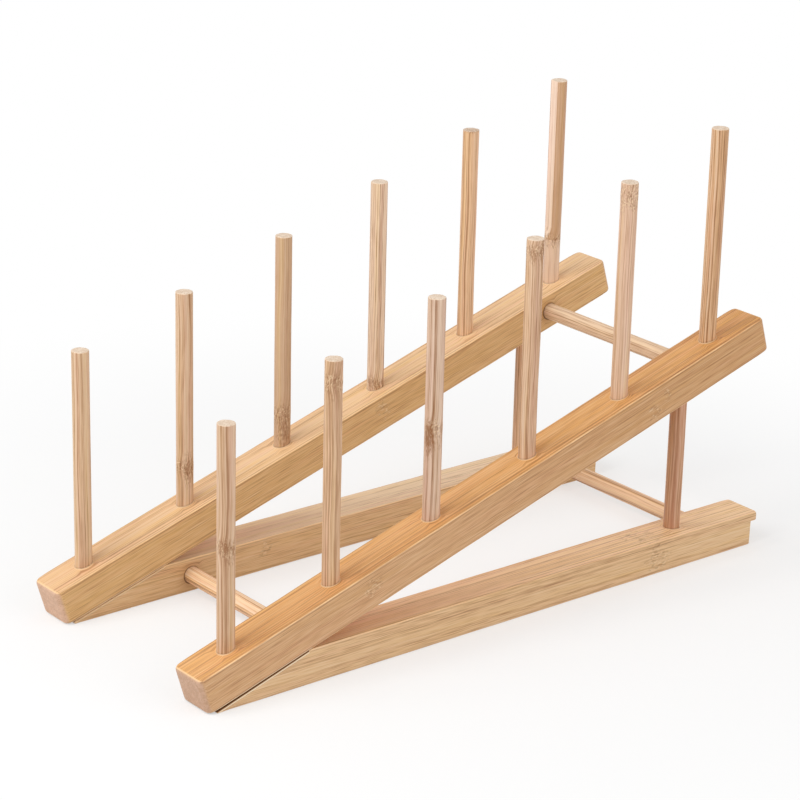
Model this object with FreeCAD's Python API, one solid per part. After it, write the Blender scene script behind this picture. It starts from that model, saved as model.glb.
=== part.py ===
import FreeCAD, Part
import math
import os

# A countertop plate rack of bamboo: two sloped rails with upright pegs, carried on two flat base rails.
# Millimetres and degrees. X runs from the low end to the high end, Y from right to left, Z up.
# The origin lies on the table, under the middle of the rack's length and width.

# Whole rack
rack_width = 132.0
slope = 17.1

# Rails
rail_width = 20.5
arris_radius = 1.5
sloped_rail_length = 340.0
sloped_rail_height = 17.5
base_rail_height = 16.5
wedge_tip_setback = 4.0
rear_relief_depth = 5.0
rear_lip_thickness = 4.5

# Pegs, spread evenly between the first and the last
peg_count = 6
peg_diameter = 8.0
peg_rise = 102.5
peg_socket_depth = 10.0
low_end_to_first_peg = 21.5
high_end_to_last_peg = 28.5

# Rear posts
post_diameter = 8.0
post_foot_depth = 9.0
post_head_depth = 6.0
post_setback = 7.2

# Cross dowels
cross_dowel_diameter = 8.0
cross_dowel_socket_depth = 8.0
front_dowel_setback = 14.0
rear_dowel_setback = 24.0
socket_web = 0.9

# Dowel ends and their sockets
dowel_end_chamfer = 0.6
socket_clearance = 0.05

# Wood screws under the wedge joints
screw_length = 16.0
screw_shank_diameter = 3.5
screw_head_diameter = 7.0
screw_head_height = 1.8
screw_tip_length = 3.0
screw_head_sink = 0.6
screw_slot_width = 1.0
screw_slot_length = 4.0
screw_slot_depth = 1.1
screw_setback = 19.5

# Directions
UP = FreeCAD.Vector(0, 0, 1)
ACROSS = FreeCAD.Vector(0, 1, 0)
SIDES = {"right": -1, "left": 1}

# Slope of the rails
cos_slope = math.cos(math.radians(slope))
sin_slope = math.sin(math.radians(slope))
tan_slope = sin_slope / cos_slope

# Places along the length: the low top arris and the rear ends are the rack's two extremes
low_end_reach = sloped_rail_height * sin_slope - arris_radius * (cos_slope + sin_slope - 1)
rack_length = sloped_rail_length * cos_slope + low_end_reach
rear_x = rack_length / 2
low_corner_x = rear_x - sloped_rail_length * cos_slope
wedge_end_x = low_corner_x + base_rail_height / tan_slope

# Places across the width
inner_face_y = rack_width / 2 - rail_width
rail_centre_y = rack_width / 2 - rail_width / 2

# Sockets are wider than their dowels by the clearance all round
peg_socket_radius = peg_diameter / 2 + socket_clearance
post_socket_radius = post_diameter / 2 + socket_clearance
cross_dowel_socket_radius = cross_dowel_diameter / 2 + socket_clearance


def on_sloped_rail(along, above):
    """Place in X and Z of a point so far along a sloped rail and so far above its underside."""
    x = low_corner_x + along * cos_slope - above * sin_slope
    z = along * sin_slope + above * cos_slope
    return x, z


def underside_z(x):
    """Height of the sloped rails' underside over the table."""
    return (x - low_corner_x) * tan_slope


def peg_foot(number):
    """Place in X and Z where a peg's axis meets the sloped rail's top face."""
    last_along = sloped_rail_length - high_end_to_last_peg
    pitch = (last_along - low_end_to_first_peg) / (peg_count - 1)
    return on_sloped_rail(low_end_to_first_peg + number * pitch, sloped_rail_height)


# The high cross dowel stands clear of the last peg's socket, at half the rail's height
last_peg_x = peg_foot(peg_count - 1)[0]
upper_dowel_x = last_peg_x - peg_socket_radius - socket_web - cross_dowel_socket_radius
upper_dowel_z = underside_z(upper_dowel_x) + sloped_rail_height / 2 / cos_slope

# The low cross dowels lie at half the base rail's height
lower_dowel_z = base_rail_height / 2
front_dowel_x = wedge_end_x + front_dowel_setback
rear_dowel_x = rear_x - rear_dowel_setback

# The posts stand just in front of the high cross dowel
post_x = upper_dowel_x - post_setback
post_foot_z = base_rail_height - post_foot_depth
post_head_z = underside_z(post_x) + post_head_depth

screw_x = wedge_end_x - screw_setback


def dowel(diameter, start, end):
    """A round dowel between two points, with both ends chamfered."""
    axis = end - start
    rod = Part.makeCylinder(diameter / 2, axis.Length, start, axis)
    rims = [edge for edge in rod.Edges if isinstance(edge.Curve, Part.Circle)]
    return rod.makeChamfer(dowel_end_chamfer, rims)


def eased_bar(length, height):
    """A rail blank along X with every arris rounded, its low corner at the origin."""
    bar = Part.makeBox(length, rail_width, height)
    return bar.makeFillet(arris_radius, bar.Edges)


def peg_sockets(side):
    """The upright blind holes for one row of pegs, open through the rail's top."""
    sockets = []
    for number in range(peg_count):
        x, z = peg_foot(number)
        floor = FreeCAD.Vector(x, side * rail_centre_y, z - peg_socket_depth)
        sockets.append(Part.makeCylinder(peg_socket_radius, peg_socket_depth + sloped_rail_height, floor, UP))
    return sockets


def post_socket(side):
    """The upright bore of a post: blind in the base rail below and in the sloped rail above."""
    floor = FreeCAD.Vector(post_x, side * rail_centre_y, post_foot_z)
    return Part.makeCylinder(post_socket_radius, post_head_z - post_foot_z, floor, UP)


def cross_dowel_socket(side, x, z):
    """A blind hole in a rail's inner face."""
    mouth = FreeCAD.Vector(x, side * inner_face_y, z)
    return Part.makeCylinder(cross_dowel_socket_radius, cross_dowel_socket_depth, mouth, ACROSS * side)


def screw_body(side, clearance):
    """A countersunk screw turned about its upright axis, its head down, grown by a clearance."""
    shank = screw_shank_diameter / 2 + clearance
    head = screw_head_diameter / 2 + clearance
    tip_z = screw_head_sink + screw_length
    outline = [
        (0, screw_head_sink),
        (head, screw_head_sink),
        (shank, screw_head_sink + screw_head_height),
        (shank, tip_z - screw_tip_length),
        (0, tip_z),
        (0, screw_head_sink),
    ]
    face = Part.Face(Part.makePolygon([FreeCAD.Vector(radius, 0, z) for radius, z in outline]))
    turned = face.revolve(FreeCAD.Vector(), UP, 360)
    turned.translate(FreeCAD.Vector(screw_x, side * rail_centre_y, 0))
    return turned


def screw_hole(side):
    """The pilot hole and countersink of a wedge screw, open to the table."""
    mouth = FreeCAD.Vector(screw_x, side * rail_centre_y, 0)
    sink = Part.makeCylinder(screw_head_diameter / 2 + socket_clearance, screw_head_sink, mouth, UP)
    return screw_body(side, socket_clearance).fuse(sink)


def sloped_rail(side):
    """A sloped rail: the blank tilted up from its low end, bored for pegs, post, cross dowel and screw."""
    rail = eased_bar(sloped_rail_length, sloped_rail_height)
    rail.rotate(FreeCAD.Vector(), ACROSS, -slope)
    rail.translate(FreeCAD.Vector(low_corner_x, side * rail_centre_y - rail_width / 2, 0))
    bores = peg_sockets(side)
    bores.append(post_socket(side))
    bores.append(cross_dowel_socket(side, upper_dowel_x, upper_dowel_z))
    bores.append(screw_hole(side))
    return rail.cut(bores)


def wedge_waste(side):
    """The wood sawn off a base rail's front, above the line of the sloped rail's underside."""
    outer_y = side * rail_centre_y - rail_width / 2
    outline = [
        FreeCAD.Vector(low_corner_x, outer_y, 0),
        FreeCAD.Vector(wedge_end_x, outer_y, base_rail_height),
        FreeCAD.Vector(low_corner_x, outer_y, base_rail_height),
        FreeCAD.Vector(low_corner_x, outer_y, 0),
    ]
    return Part.Face(Part.makePolygon(outline)).extrude(ACROSS * rail_width)


def rear_relief(side):
    """The step cut under a base rail's rear end, which leaves a lip at the top."""
    corner = FreeCAD.Vector(rear_x - rear_relief_depth, side * rail_centre_y - rail_width / 2, 0)
    return Part.makeBox(rear_relief_depth, rail_width, base_rail_height - rear_lip_thickness, corner)


def base_rail(side):
    """A base rail: the blank sawn to a wedge in front and stepped behind, bored for post, dowels and screw."""
    tip_x = low_corner_x + wedge_tip_setback
    rail = eased_bar(rear_x - tip_x, base_rail_height)
    rail.translate(FreeCAD.Vector(tip_x, side * rail_centre_y - rail_width / 2, 0))
    cuts = [
        wedge_waste(side),
        rear_relief(side),
        post_socket(side),
        cross_dowel_socket(side, front_dowel_x, lower_dowel_z),
        cross_dowel_socket(side, rear_dowel_x, lower_dowel_z),
        screw_hole(side),
    ]
    return rail.cut(cuts)


def peg(side, number):
    """An upright peg, seated on the floor of its socket."""
    x, z = peg_foot(number)
    y = side * rail_centre_y
    return dowel(peg_diameter, FreeCAD.Vector(x, y, z - peg_socket_depth), FreeCAD.Vector(x, y, z + peg_rise))


def rear_post(side):
    """An upright post, seated in the base rail and in the sloped rail."""
    y = side * rail_centre_y
    return dowel(post_diameter, FreeCAD.Vector(post_x, y, post_foot_z), FreeCAD.Vector(post_x, y, post_head_z))


def cross_dowel(x, z):
    """A level dowel across the rack, seated in the inner faces of both rails."""
    reach = inner_face_y + cross_dowel_socket_depth
    return dowel(cross_dowel_diameter, FreeCAD.Vector(x, -reach, z), FreeCAD.Vector(x, reach, z))


def wedge_screw(side):
    """A countersunk wood screw with a cross slot in its head."""
    screw = screw_body(side, 0)
    centre = FreeCAD.Vector(screw_x, side * rail_centre_y, screw_head_sink)
    slots = []
    for size_x, size_y in ((screw_slot_length, screw_slot_width), (screw_slot_width, screw_slot_length)):
        corner = centre - FreeCAD.Vector(size_x / 2, size_y / 2, 0)
        slots.append(Part.makeBox(size_x, size_y, screw_slot_depth, corner))
    return screw.cut(slots)


def rack():
    """Every piece of the rack by its node name."""
    pieces = {
        "front_cross_dowel": cross_dowel(front_dowel_x, lower_dowel_z),
        "rear_lower_cross_dowel": cross_dowel(rear_dowel_x, lower_dowel_z),
        "rear_upper_cross_dowel": cross_dowel(upper_dowel_x, upper_dowel_z),
        "wedge_screws": Part.makeCompound([wedge_screw(side) for side in SIDES.values()]),
    }
    for name, side in SIDES.items():
        pieces[f"{name}_sloped_rail"] = sloped_rail(side)
        pieces[f"{name}_base_rail"] = base_rail(side)
        pieces[f"{name}_rear_post"] = rear_post(side)
        for number in range(peg_count):
            pieces[f"{name}_peg_{number + 1}"] = peg(side, number)
    return pieces


os.makedirs("parts", exist_ok=True)
for node, shape in rack().items():
    shape.exportStep(f"parts/{node}.step")
    print(f"{node}: {len(shape.Solids)} solid, {shape.Volume:.1f} cubic mm, valid {shape.isValid()}")
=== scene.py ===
# %% [markdown]
# # A bamboo plate rack
# The rack has two sloped rails with six upright pegs each. Two flat base rails carry them, two short posts
# hold up their high ends, and three dowels tie the left side to the right side. The frame is the model that
# the workshop drew, in metres, with X from the low end to the high end, Y from right to left and Z up.
# This lesson gives each piece its real surface: eased arrises, planed flats, glue fillets and bamboo grain.

# %% Load the frame
import math

import bpy
import numpy as np
from mathutils import Color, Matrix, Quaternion, Vector


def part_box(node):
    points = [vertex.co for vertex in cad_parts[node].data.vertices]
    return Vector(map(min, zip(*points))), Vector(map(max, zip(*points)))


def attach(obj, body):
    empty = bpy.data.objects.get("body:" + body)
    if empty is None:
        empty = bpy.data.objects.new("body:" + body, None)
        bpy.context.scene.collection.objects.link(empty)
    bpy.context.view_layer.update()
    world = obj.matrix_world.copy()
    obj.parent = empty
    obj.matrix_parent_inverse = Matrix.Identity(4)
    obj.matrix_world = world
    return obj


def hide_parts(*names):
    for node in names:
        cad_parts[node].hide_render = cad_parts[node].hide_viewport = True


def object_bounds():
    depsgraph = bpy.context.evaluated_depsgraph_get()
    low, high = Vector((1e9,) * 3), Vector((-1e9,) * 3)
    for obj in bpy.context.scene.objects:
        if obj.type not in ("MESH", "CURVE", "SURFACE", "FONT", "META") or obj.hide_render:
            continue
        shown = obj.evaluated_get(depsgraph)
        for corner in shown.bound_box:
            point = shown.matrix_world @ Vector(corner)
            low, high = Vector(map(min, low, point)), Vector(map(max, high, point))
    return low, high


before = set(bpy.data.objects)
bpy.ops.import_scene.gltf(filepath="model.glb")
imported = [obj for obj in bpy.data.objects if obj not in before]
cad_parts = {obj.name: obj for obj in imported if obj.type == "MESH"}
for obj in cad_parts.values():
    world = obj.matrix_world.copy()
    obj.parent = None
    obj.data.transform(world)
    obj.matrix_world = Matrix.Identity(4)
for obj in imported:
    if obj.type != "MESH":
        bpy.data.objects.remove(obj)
cad_low, cad_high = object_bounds()
MM = 0.001
print("rack in mm:", [round(size / MM, 1) for size in cad_high - cad_low])

# %% [markdown]
# ## The camera
# The picture looks down at the low end from its right-hand side, with a long lens, so that the rails stay
# nearly parallel. A camera can be placed by hand, but three angles and a distance from a point inside the
# rack say the same thing in numbers that can be compared with a photograph. The small roll is a camera
# that was not quite level.

# %% Camera
scene = bpy.context.scene
scene.view_settings.view_transform = "Standard"
VIEW_AZIMUTH = math.radians(-39.0)
VIEW_ELEVATION = math.radians(19.96)
VIEW_ROLL = math.radians(1.41)
VIEW_DISTANCE = 1.2851
VIEW_CENTRE = Vector((-7.9, 0.0, 90.25)) * MM
LENS = 126.0
SENSOR = 36.0


def direction(azimuth, elevation):
    """Unit vector from the rack towards a place: azimuth 0 is along -Y and turns towards +X."""
    level = math.cos(elevation)
    return Vector((math.sin(azimuth) * level, -math.cos(azimuth) * level, math.sin(elevation)))


back = direction(VIEW_AZIMUTH, VIEW_ELEVATION)
camera = bpy.data.objects.new("camera", bpy.data.cameras.new("camera"))
camera.data.lens = LENS
camera.data.sensor_width = SENSOR
camera.location = VIEW_CENTRE + back * VIEW_DISTANCE
camera.rotation_mode = "QUATERNION"
camera.rotation_quaternion = (-back).to_track_quat("-Z", "Y") @ Quaternion((0, 0, 1), VIEW_ROLL)
scene.collection.objects.link(camera)
scene.camera = camera
print("camera at", [round(place, 3) for place in camera.location])

# %% [markdown]
# ## Light and floor
# The rack stands on a white sweep in very soft light. One large lamp at the upper left throws the faint
# shadows to the right of the pegs, a wide one from the right keeps the near sides open, and an even sky and
# the white floor do the rest. The levels are plain: a white card on the floor comes out just under white.

# %% Lamps
LAMPS = {
    "key_lamp": {"azimuth": -97.0, "elevation": 45.0, "distance": 1.5, "size": 1.0, "watts": 12.5},
    "fill_lamp": {"azimuth": 22.0, "elevation": 14.0, "distance": 1.8, "size": 1.8, "watts": 11.0},
}


def add_lamp(name, azimuth, elevation, distance, size, watts):
    """A square soft box that faces the middle of the rack."""
    lamp = bpy.data.objects.new(name, bpy.data.lights.new(name, "AREA"))
    towards = direction(math.radians(azimuth), math.radians(elevation))
    lamp.data.size = size
    lamp.data.energy = watts
    lamp.location = VIEW_CENTRE + towards * distance
    lamp.rotation_mode = "QUATERNION"
    lamp.rotation_quaternion = (-towards).to_track_quat("-Z", "Y")
    scene.collection.objects.link(lamp)
    return lamp


for lamp_name, setting in LAMPS.items():
    add_lamp(lamp_name, **setting)
print("lamps:", ", ".join(LAMPS))

# %% [markdown]
# Node trees are easier to read in code with a few small helpers. One adds a node and fills its inputs: a
# value that is another node's output becomes a link, and anything else is written into the socket. Others are
# the Math node, the Mix node and a soft step, which the finishes below use a great deal. A Mix node has
# sockets for numbers and vectors too, so its colour sockets go by number.

# %% Node helpers
MIX_SHARE, MIX_FIRST, MIX_SECOND = 0, 6, 7
MIXED_COLOUR = 2


def add_node(tree, kind, inputs, **settings):
    """A new node with its settings, whose inputs are linked or written."""
    node = tree.nodes.new(kind)
    for key, value in settings.items():
        setattr(node, key, value)
    for key, value in inputs.items():
        if isinstance(value, bpy.types.NodeSocket):
            tree.links.new(value, node.inputs[key])
        else:
            node.inputs[key].default_value = value
    return node


def calculate(tree, operation, *values):
    """The result of a Math node."""
    return add_node(tree, "ShaderNodeMath", dict(enumerate(values)), operation=operation).outputs[0]


def mix_colour(tree, share, first, second, blend="MIX"):
    """A colour that goes from the first to the second as the share goes from 0 to 1."""
    inputs = {MIX_SHARE: share, MIX_FIRST: first, MIX_SECOND: second}
    return add_node(tree, "ShaderNodeMix", inputs, data_type="RGBA", blend_type=blend).outputs[MIXED_COLOUR]


def smooth_range(tree, value, low, high, to_low=0.0, to_high=1.0):
    """A soft step between two values."""
    inputs = {"Value": value, "From Min": low, "From Max": high, "To Min": to_low, "To Max": to_high}
    return add_node(tree, "ShaderNodeMapRange", inputs, interpolation_type="SMOOTHSTEP").outputs[0]


def empty_tree(owner):
    """The owner's node tree with nothing in it."""
    owner.use_nodes = True
    owner.node_tree.nodes.clear()
    return owner.node_tree


def seen_directly(tree):
    """1 where the camera looks straight at a surface, or through gloss or glass, and 0 for bounced light."""
    path = add_node(tree, "ShaderNodeLightPath", {})
    mirrored = calculate(tree, "MAXIMUM", path.outputs["Is Glossy Ray"], path.outputs["Is Transmission Ray"])
    return calculate(tree, "MAXIMUM", path.outputs["Is Camera Ray"], mirrored)


print("colour sockets of the Mix node:", MIX_FIRST, "and", MIX_SECOND)

# %% [markdown]
# The sky is white to the eye and dimmer as a light, so it can be a white backdrop without flooding the rack.

# %% Sky
WHITE = (1.0, 1.0, 1.0, 1.0)
SKY_LIGHT = 0.58

sky = bpy.data.worlds.new("white_sky")
scene.world = sky
sky_tree = empty_tree(sky)
sky_level = calculate(sky_tree, "MULTIPLY_ADD", seen_directly(sky_tree), 1.0 - SKY_LIGHT, SKY_LIGHT)
background = add_node(sky_tree, "ShaderNodeBackground", {"Color": WHITE, "Strength": sky_level})
add_node(sky_tree, "ShaderNodeOutputWorld", {"Surface": background.outputs[0]})
print("sky lights at", SKY_LIGHT, "and shows as 1")

# %% [markdown]
# The floor is matt near the rack, where it catches the shadow, and turns into plain white further off, as a
# sweep of paper does in a studio. Only what the camera sees turns white: the light that the floor throws back
# at the rack stays that of grey-white paper everywhere.

# %% Floor
FLOOR_SEEN = (0.965, 0.965, 0.965, 1.0)
FLOOR_BOUNCE = (0.76, 0.755, 0.745, 1.0)
FLOOR_HALF = 4.0
SWEEP = (0.18, 0.42)
NEAR_WHITE = 0.5

floor_mesh = bpy.data.meshes.new("floor")
floor_corners = [(x * FLOOR_HALF, y * FLOOR_HALF, 0) for x, y in ((-1, -1), (1, -1), (1, 1), (-1, 1))]
floor_mesh.from_pydata(floor_corners, [], [(0, 1, 2, 3)])
floor = bpy.data.objects.new("floor", floor_mesh)
scene.collection.objects.link(floor)
floor_paint = bpy.data.materials.new("white_floor")
floor_tree = empty_tree(floor_paint)
direct = seen_directly(floor_tree)
floor_colour = mix_colour(floor_tree, direct, FLOOR_BOUNCE, FLOOR_SEEN)
matt = add_node(floor_tree, "ShaderNodeBsdfDiffuse", {"Color": floor_colour}).outputs[0]
plain = add_node(floor_tree, "ShaderNodeEmission", {"Color": WHITE, "Strength": 1.0}).outputs[0]
floor_place = add_node(floor_tree, "ShaderNodeTexCoord", {}).outputs["Object"]
off_centre = add_node(floor_tree, "ShaderNodeVectorMath", {0: floor_place}, operation="LENGTH")
whiteness = smooth_range(floor_tree, off_centre.outputs["Value"], *SWEEP, NEAR_WHITE, 1.0)
far_share = calculate(floor_tree, "MULTIPLY", whiteness, direct)
sweep = add_node(floor_tree, "ShaderNodeMixShader", {0: far_share, 1: matt, 2: plain})
add_node(floor_tree, "ShaderNodeOutputMaterial", {"Surface": sweep.outputs[0]})
floor_mesh.materials.append(floor_paint)
print("floor seen at", FLOOR_SEEN[0], "and bounces", FLOOR_BOUNCE[0])

# %% [markdown]
# ## Sizes, read from the frame
# Nothing is measured twice. The slope is the line through the tops of the first and the last peg. A bar that
# is turned by the slope has a box whose width is length x cos + height x sin and whose height is
# length x sin + height x cos, less what the rounded corners lose. Two equations give its length and height.

# %% Sizes of the rails
END_ARRIS = 1.5 * MM
PEGS = 6


def centre_of(node):
    """The middle of a node's box."""
    low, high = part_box(node)
    return (low + high) / 2


peg_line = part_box(f"right_peg_{PEGS}")[1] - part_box("right_peg_1")[1]
slope = math.atan2(peg_line.z, peg_line.x)
cos_slope = math.cos(slope)
sin_slope = math.sin(slope)
tan_slope = math.tan(slope)
sloped_low, sloped_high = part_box("right_sloped_rail")
corner_loss = END_ARRIS * (cos_slope + sin_slope - 1)
box_sides = [sloped_high.x - sloped_low.x + 2 * corner_loss, sloped_high.z - sloped_low.z + 2 * corner_loss]
rail_length, rail_height = np.linalg.solve([[cos_slope, sin_slope], [sin_slope, cos_slope]], box_sides)
rail_width = sloped_high.y - sloped_low.y
rail_centre_y = cad_high.y - rail_width / 2
inner_face_y = cad_high.y - rail_width
corner_x = sloped_low.x + rail_height * sin_slope - corner_loss
base_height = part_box("right_base_rail")[1].z
wedge_end_x = corner_x + base_height / tan_slope
print(f"slope {math.degrees(slope):.2f} degrees, sloped rail {rail_length / MM:.1f} mm long")
print(f"section {rail_width / MM:.1f} x {rail_height / MM:.1f} mm, base rail {base_height / MM:.1f} mm high")

# %% [markdown]
# ## One skin for every piece
# Rails and dowels are both rings of points carried along a line, so one helper turns any stack of rings into
# a closed skin: quads between neighbouring rings and a fan of triangles to the middle of each end. Numbers
# that the finish needs later, such as where the grain runs, are kept on the points as named attributes.

# %% Closed skins
CAP_SHARES = (0.85, 0.6, 0.3)


def closed_skin(name, rings):
    """A closed mesh over rings (ring, point, xyz), which run anticlockwise as seen from beyond the last."""
    ring_count, point_count, axes = rings.shape
    points = np.concatenate([rings.reshape(-1, axes), rings[[0, -1]].mean(axis=1)])
    here = np.arange(ring_count * point_count).reshape(ring_count, point_count)
    following = np.roll(here, -1, axis=1)
    quads = np.stack([here[:-1], following[:-1], following[1:], here[1:]], axis=-1)
    quads = quads.reshape(-1, quads.shape[-1])
    first_middle = np.full(point_count, len(points) - 2)
    last_middle = np.full(point_count, len(points) - 1)
    first_fan = np.stack([first_middle, following[0], here[0]], axis=-1)
    last_fan = np.stack([last_middle, here[-1], following[-1]], axis=-1)
    mesh = bpy.data.meshes.new(name)
    mesh.from_pydata(points.tolist(), [], quads.tolist() + first_fan.tolist() + last_fan.tolist())
    mesh.shade_smooth()
    piece = bpy.data.objects.new(name, mesh)
    scene.collection.objects.link(piece)
    return piece


def keep_on_points(piece, label, values):
    """Stores a number or a vector for each ring point. Each end's middle takes the mean of its ring."""
    values = np.asarray(values, float)
    width = values.shape[2:]
    flat = np.concatenate([values.reshape(-1, *width), values[[0, -1]].mean(axis=1)])
    kind, field = ("FLOAT_VECTOR", "vector") if width else ("FLOAT", "value")
    attribute = piece.data.attributes.new(label, kind, "POINT")
    attribute.data.foreach_set(field, flat.astype(np.float32).ravel())


def end_caps(rings):
    """The rings with smaller copies of the first and last one in front and behind, which close the ends."""
    middles = rings[[0, -1]].mean(axis=1, keepdims=True)
    shrunk = [middles + share * (rings[[0, -1]] - middles) for share in CAP_SHARES]
    front = [ring[:1] for ring in reversed(shrunk)]
    rear = [ring[1:] for ring in shrunk]
    return np.concatenate([*front, rings, *rear])


def repeat_ends(values):
    """Values of the rings, with the first and last repeated for the cap rings."""
    copies = len(CAP_SHARES)
    return np.concatenate([values[:1]] * copies + [values] + [values[-1:]] * copies)


def place_in_rack(piece, node):
    """Puts the piece under the rack's root body and hides the drawn piece that it stands for."""
    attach(piece, "root")
    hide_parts(node)


print("each end is closed by", len(CAP_SHARES), "smaller rings and a fan of triangles")

# %% [markdown]
# ## Seats
# Every dowel sits in a blind hole. Pegs and posts stand in a fillet of glue, and the cross dowels are pressed
# in dry, so a hairline gap and a rim of painted shade show beside their flats. A profile says what happens
# from the middle of a seat outwards: the floor of the hole, the wall, the lip that closes against the dowel,
# and the fillet, which falls off as (1 - share) squared. Each line of the profile has a radius, a depth and a
# share of glue.

# %% Profile of a seat
GLUE_UNDER = 0.35 * MM
GLUE_FOOT = 1.1 * MM
GLUE_HEIGHT = 0.5 * MM
BARE_UNDER = 0.02 * MM
LIP_DEPTH = 0.5 * MM
EDGE_DEPTH = 0.02 * MM
WALL_LEAN = 0.02 * MM
FLOOR_LINES = np.linspace(0.0, 0.85, 6)
WALL_LINES = np.array([0.90, 0.93, 0.96])
GLUE_START = 0.97
GLUE_LINES = np.linspace(0.0, 1.0, 8)


def seat(face, along, across, radius, depth, stretch=1.0, glued=True):
    """What the grid needs to know about one blind hole. A slanted face stretches its mouth.

    The lip reaches under the dowel's skin. The rim is 1 where glue fills it and -1 where it is dry.
    """
    mouth = {"face": face, "along": along, "across": across, "stretch": stretch}
    hole = {**mouth, "radius": radius, "depth": depth}
    if glued:
        return {**hole, "under": GLUE_UNDER, "glue": GLUE_HEIGHT, "rim": 1.0}
    return {**hole, "under": BARE_UNDER, "glue": 0.0, "rim": -1.0}


def seat_profile(hole):
    """Grid lines from a seat's middle outwards: their offsets, bent radii, depths and shares of glue."""
    radius, depth, under = hole["radius"], hole["depth"], hole["under"]
    floor_offsets = FLOOR_LINES * radius
    glue_offsets = GLUE_START * radius + GLUE_LINES * (GLUE_FOOT + (1 - GLUE_START) * radius)
    glue_radii = radius - under + GLUE_LINES * (GLUE_FOOT + under)
    offsets = np.concatenate([floor_offsets, WALL_LINES * radius, glue_offsets])
    radii = np.concatenate([floor_offsets, [radius - WALL_LEAN, radius, radius - under], glue_radii])
    depths = np.concatenate([0 * floor_offsets + depth, [depth, LIP_DEPTH, EDGE_DEPTH], 0 * GLUE_LINES])
    shares = np.concatenate([0 * floor_offsets, 0 * WALL_LINES, (1 - GLUE_LINES) ** 2])
    return offsets, radii, depths, shares


print("lines of a seat, from its middle outwards:", len(FLOOR_LINES) + len(WALL_LINES) + len(GLUE_LINES))

# %% [markdown]
# A boolean would cut the holes, but it leaves ragged triangles. Here the square grid lines around a seat are
# bent into circles instead: each point slides along its own ray until it is as far from the middle as the
# profile says, and a short blend outside leads back to the plain grid.

# %% Seats in a grid
SEAT_BLEND = 1.0 * MM
LEAST_RAY = 0.02 * MM
LUMP_LEVELS = (0.62, 0.28, 0.1)
LUMP_SIDE = math.radians(225)
LUMP_WAVES = 3
FAR = 1.0


def lumpy(p, q, along):
    """Glue squeezes out unevenly: more on the low near side, with a few lumps of each seat's own."""
    angle = np.arctan2(q, p)
    mean, swing, lump = LUMP_LEVELS
    return mean + swing * np.cos(angle - LUMP_SIDE) + lump * np.sin(LUMP_WAVES * angle + along / MM)


def cut_seats(along, across, seats):
    """Bends a grid round its seats. Returns the grid, and each point's depth, gap to the dowel and glue.

    The glue is above 0 on a fillet and below 0 on the rim of a dry seat.
    """
    depth = np.zeros_like(along)
    gap = np.full_like(along, FAR)
    glue = np.zeros_like(along)
    for hole in seats:
        offsets, radii, depths, shares = seat_profile(hole)
        p = (along - hole["along"]) / hole["stretch"]
        q = across - hole["across"]
        square = np.maximum(np.abs(p), np.abs(q))
        ray = np.maximum(np.hypot(p, q), LEAST_RAY)
        bent = np.where(square < offsets[-1], np.interp(square, offsets, radii), square)
        near = np.clip((offsets[-1] + SEAT_BLEND - square) / SEAT_BLEND, 0, 1)
        factor = 1 + near * (bent / ray - 1)
        own_glue = np.interp(square, offsets, shares) * lumpy(p, q, hole["along"])
        along = np.where(near > 0, hole["along"] + p * factor * hole["stretch"], along)
        across = np.where(near > 0, hole["across"] + q * factor, across)
        depth = depth + np.interp(square, offsets, depths) - hole["glue"] * own_glue
        glue = np.where(own_glue > np.abs(glue), hole["rim"] * own_glue, glue)
        gap = np.minimum(gap, ray * factor - hole["radius"] + hole["under"])
    return along, across, depth, gap, glue


def seat_marks(seats, key):
    """Grid lines through the seats, along or across the grid."""
    lines = [[]]
    for hole in seats:
        stretch = hole["stretch"] if key == "along" else 1.0
        offsets = seat_profile(hole)[0]
        lines.append(hole[key] + stretch * np.concatenate([-offsets[:0:-1], offsets]))
    return np.concatenate(lines)


def seats_on(face, seats):
    """The seats that lie on one face."""
    return [hole for hole in seats if hole["face"] == face]


trial_seat = seat("trial", 0.0, 0.0, GLUE_FOOT, LIP_DEPTH)
print("a seat puts", len(seat_marks([trial_seat], "along")), "lines into the grid each way")

# %% [markdown]
# ## Rails
# A rail is a bar with a rounded-rectangle section. The section is built once as a list of points that know
# which face or corner they belong to. A face has fine grid lines only where its own seats are, and of lines
# that all but coincide only one stays, because the slivers between them would spoil the mesh.

# %% Section of a rail
UNDER, LEFT, TOP, RIGHT, CORNER = range(5)
FLAT_MARGIN = 2.1 * MM
CORNER_STEPS = 8
FLAT_STEP = 1.4 * MM
LINE_GAP = 0.008 * MM
ROOM_PARTS = 3


def spread(low, high, step, marks):
    """Places from low to high, about one step apart, with the marks among them and none close to a mark.

    Of marks that all but coincide, the lowest stays.
    """
    marks = np.unique(np.asarray(marks, float))
    marks = marks[(marks > low) & (marks < high - LINE_GAP)]
    marks = marks[np.diff(marks, prepend=low) > LINE_GAP]
    even = np.linspace(low, high, max(2, int(round((high - low) / step)) + 1))
    if len(marks):
        nearest = np.abs(even[:, None] - marks[None, :]).min(axis=1)
        even = even[(nearest > step / ROOM_PARTS) | (even == low) | (even == high)]
    return np.sort(np.concatenate([even, marks]))


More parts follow.
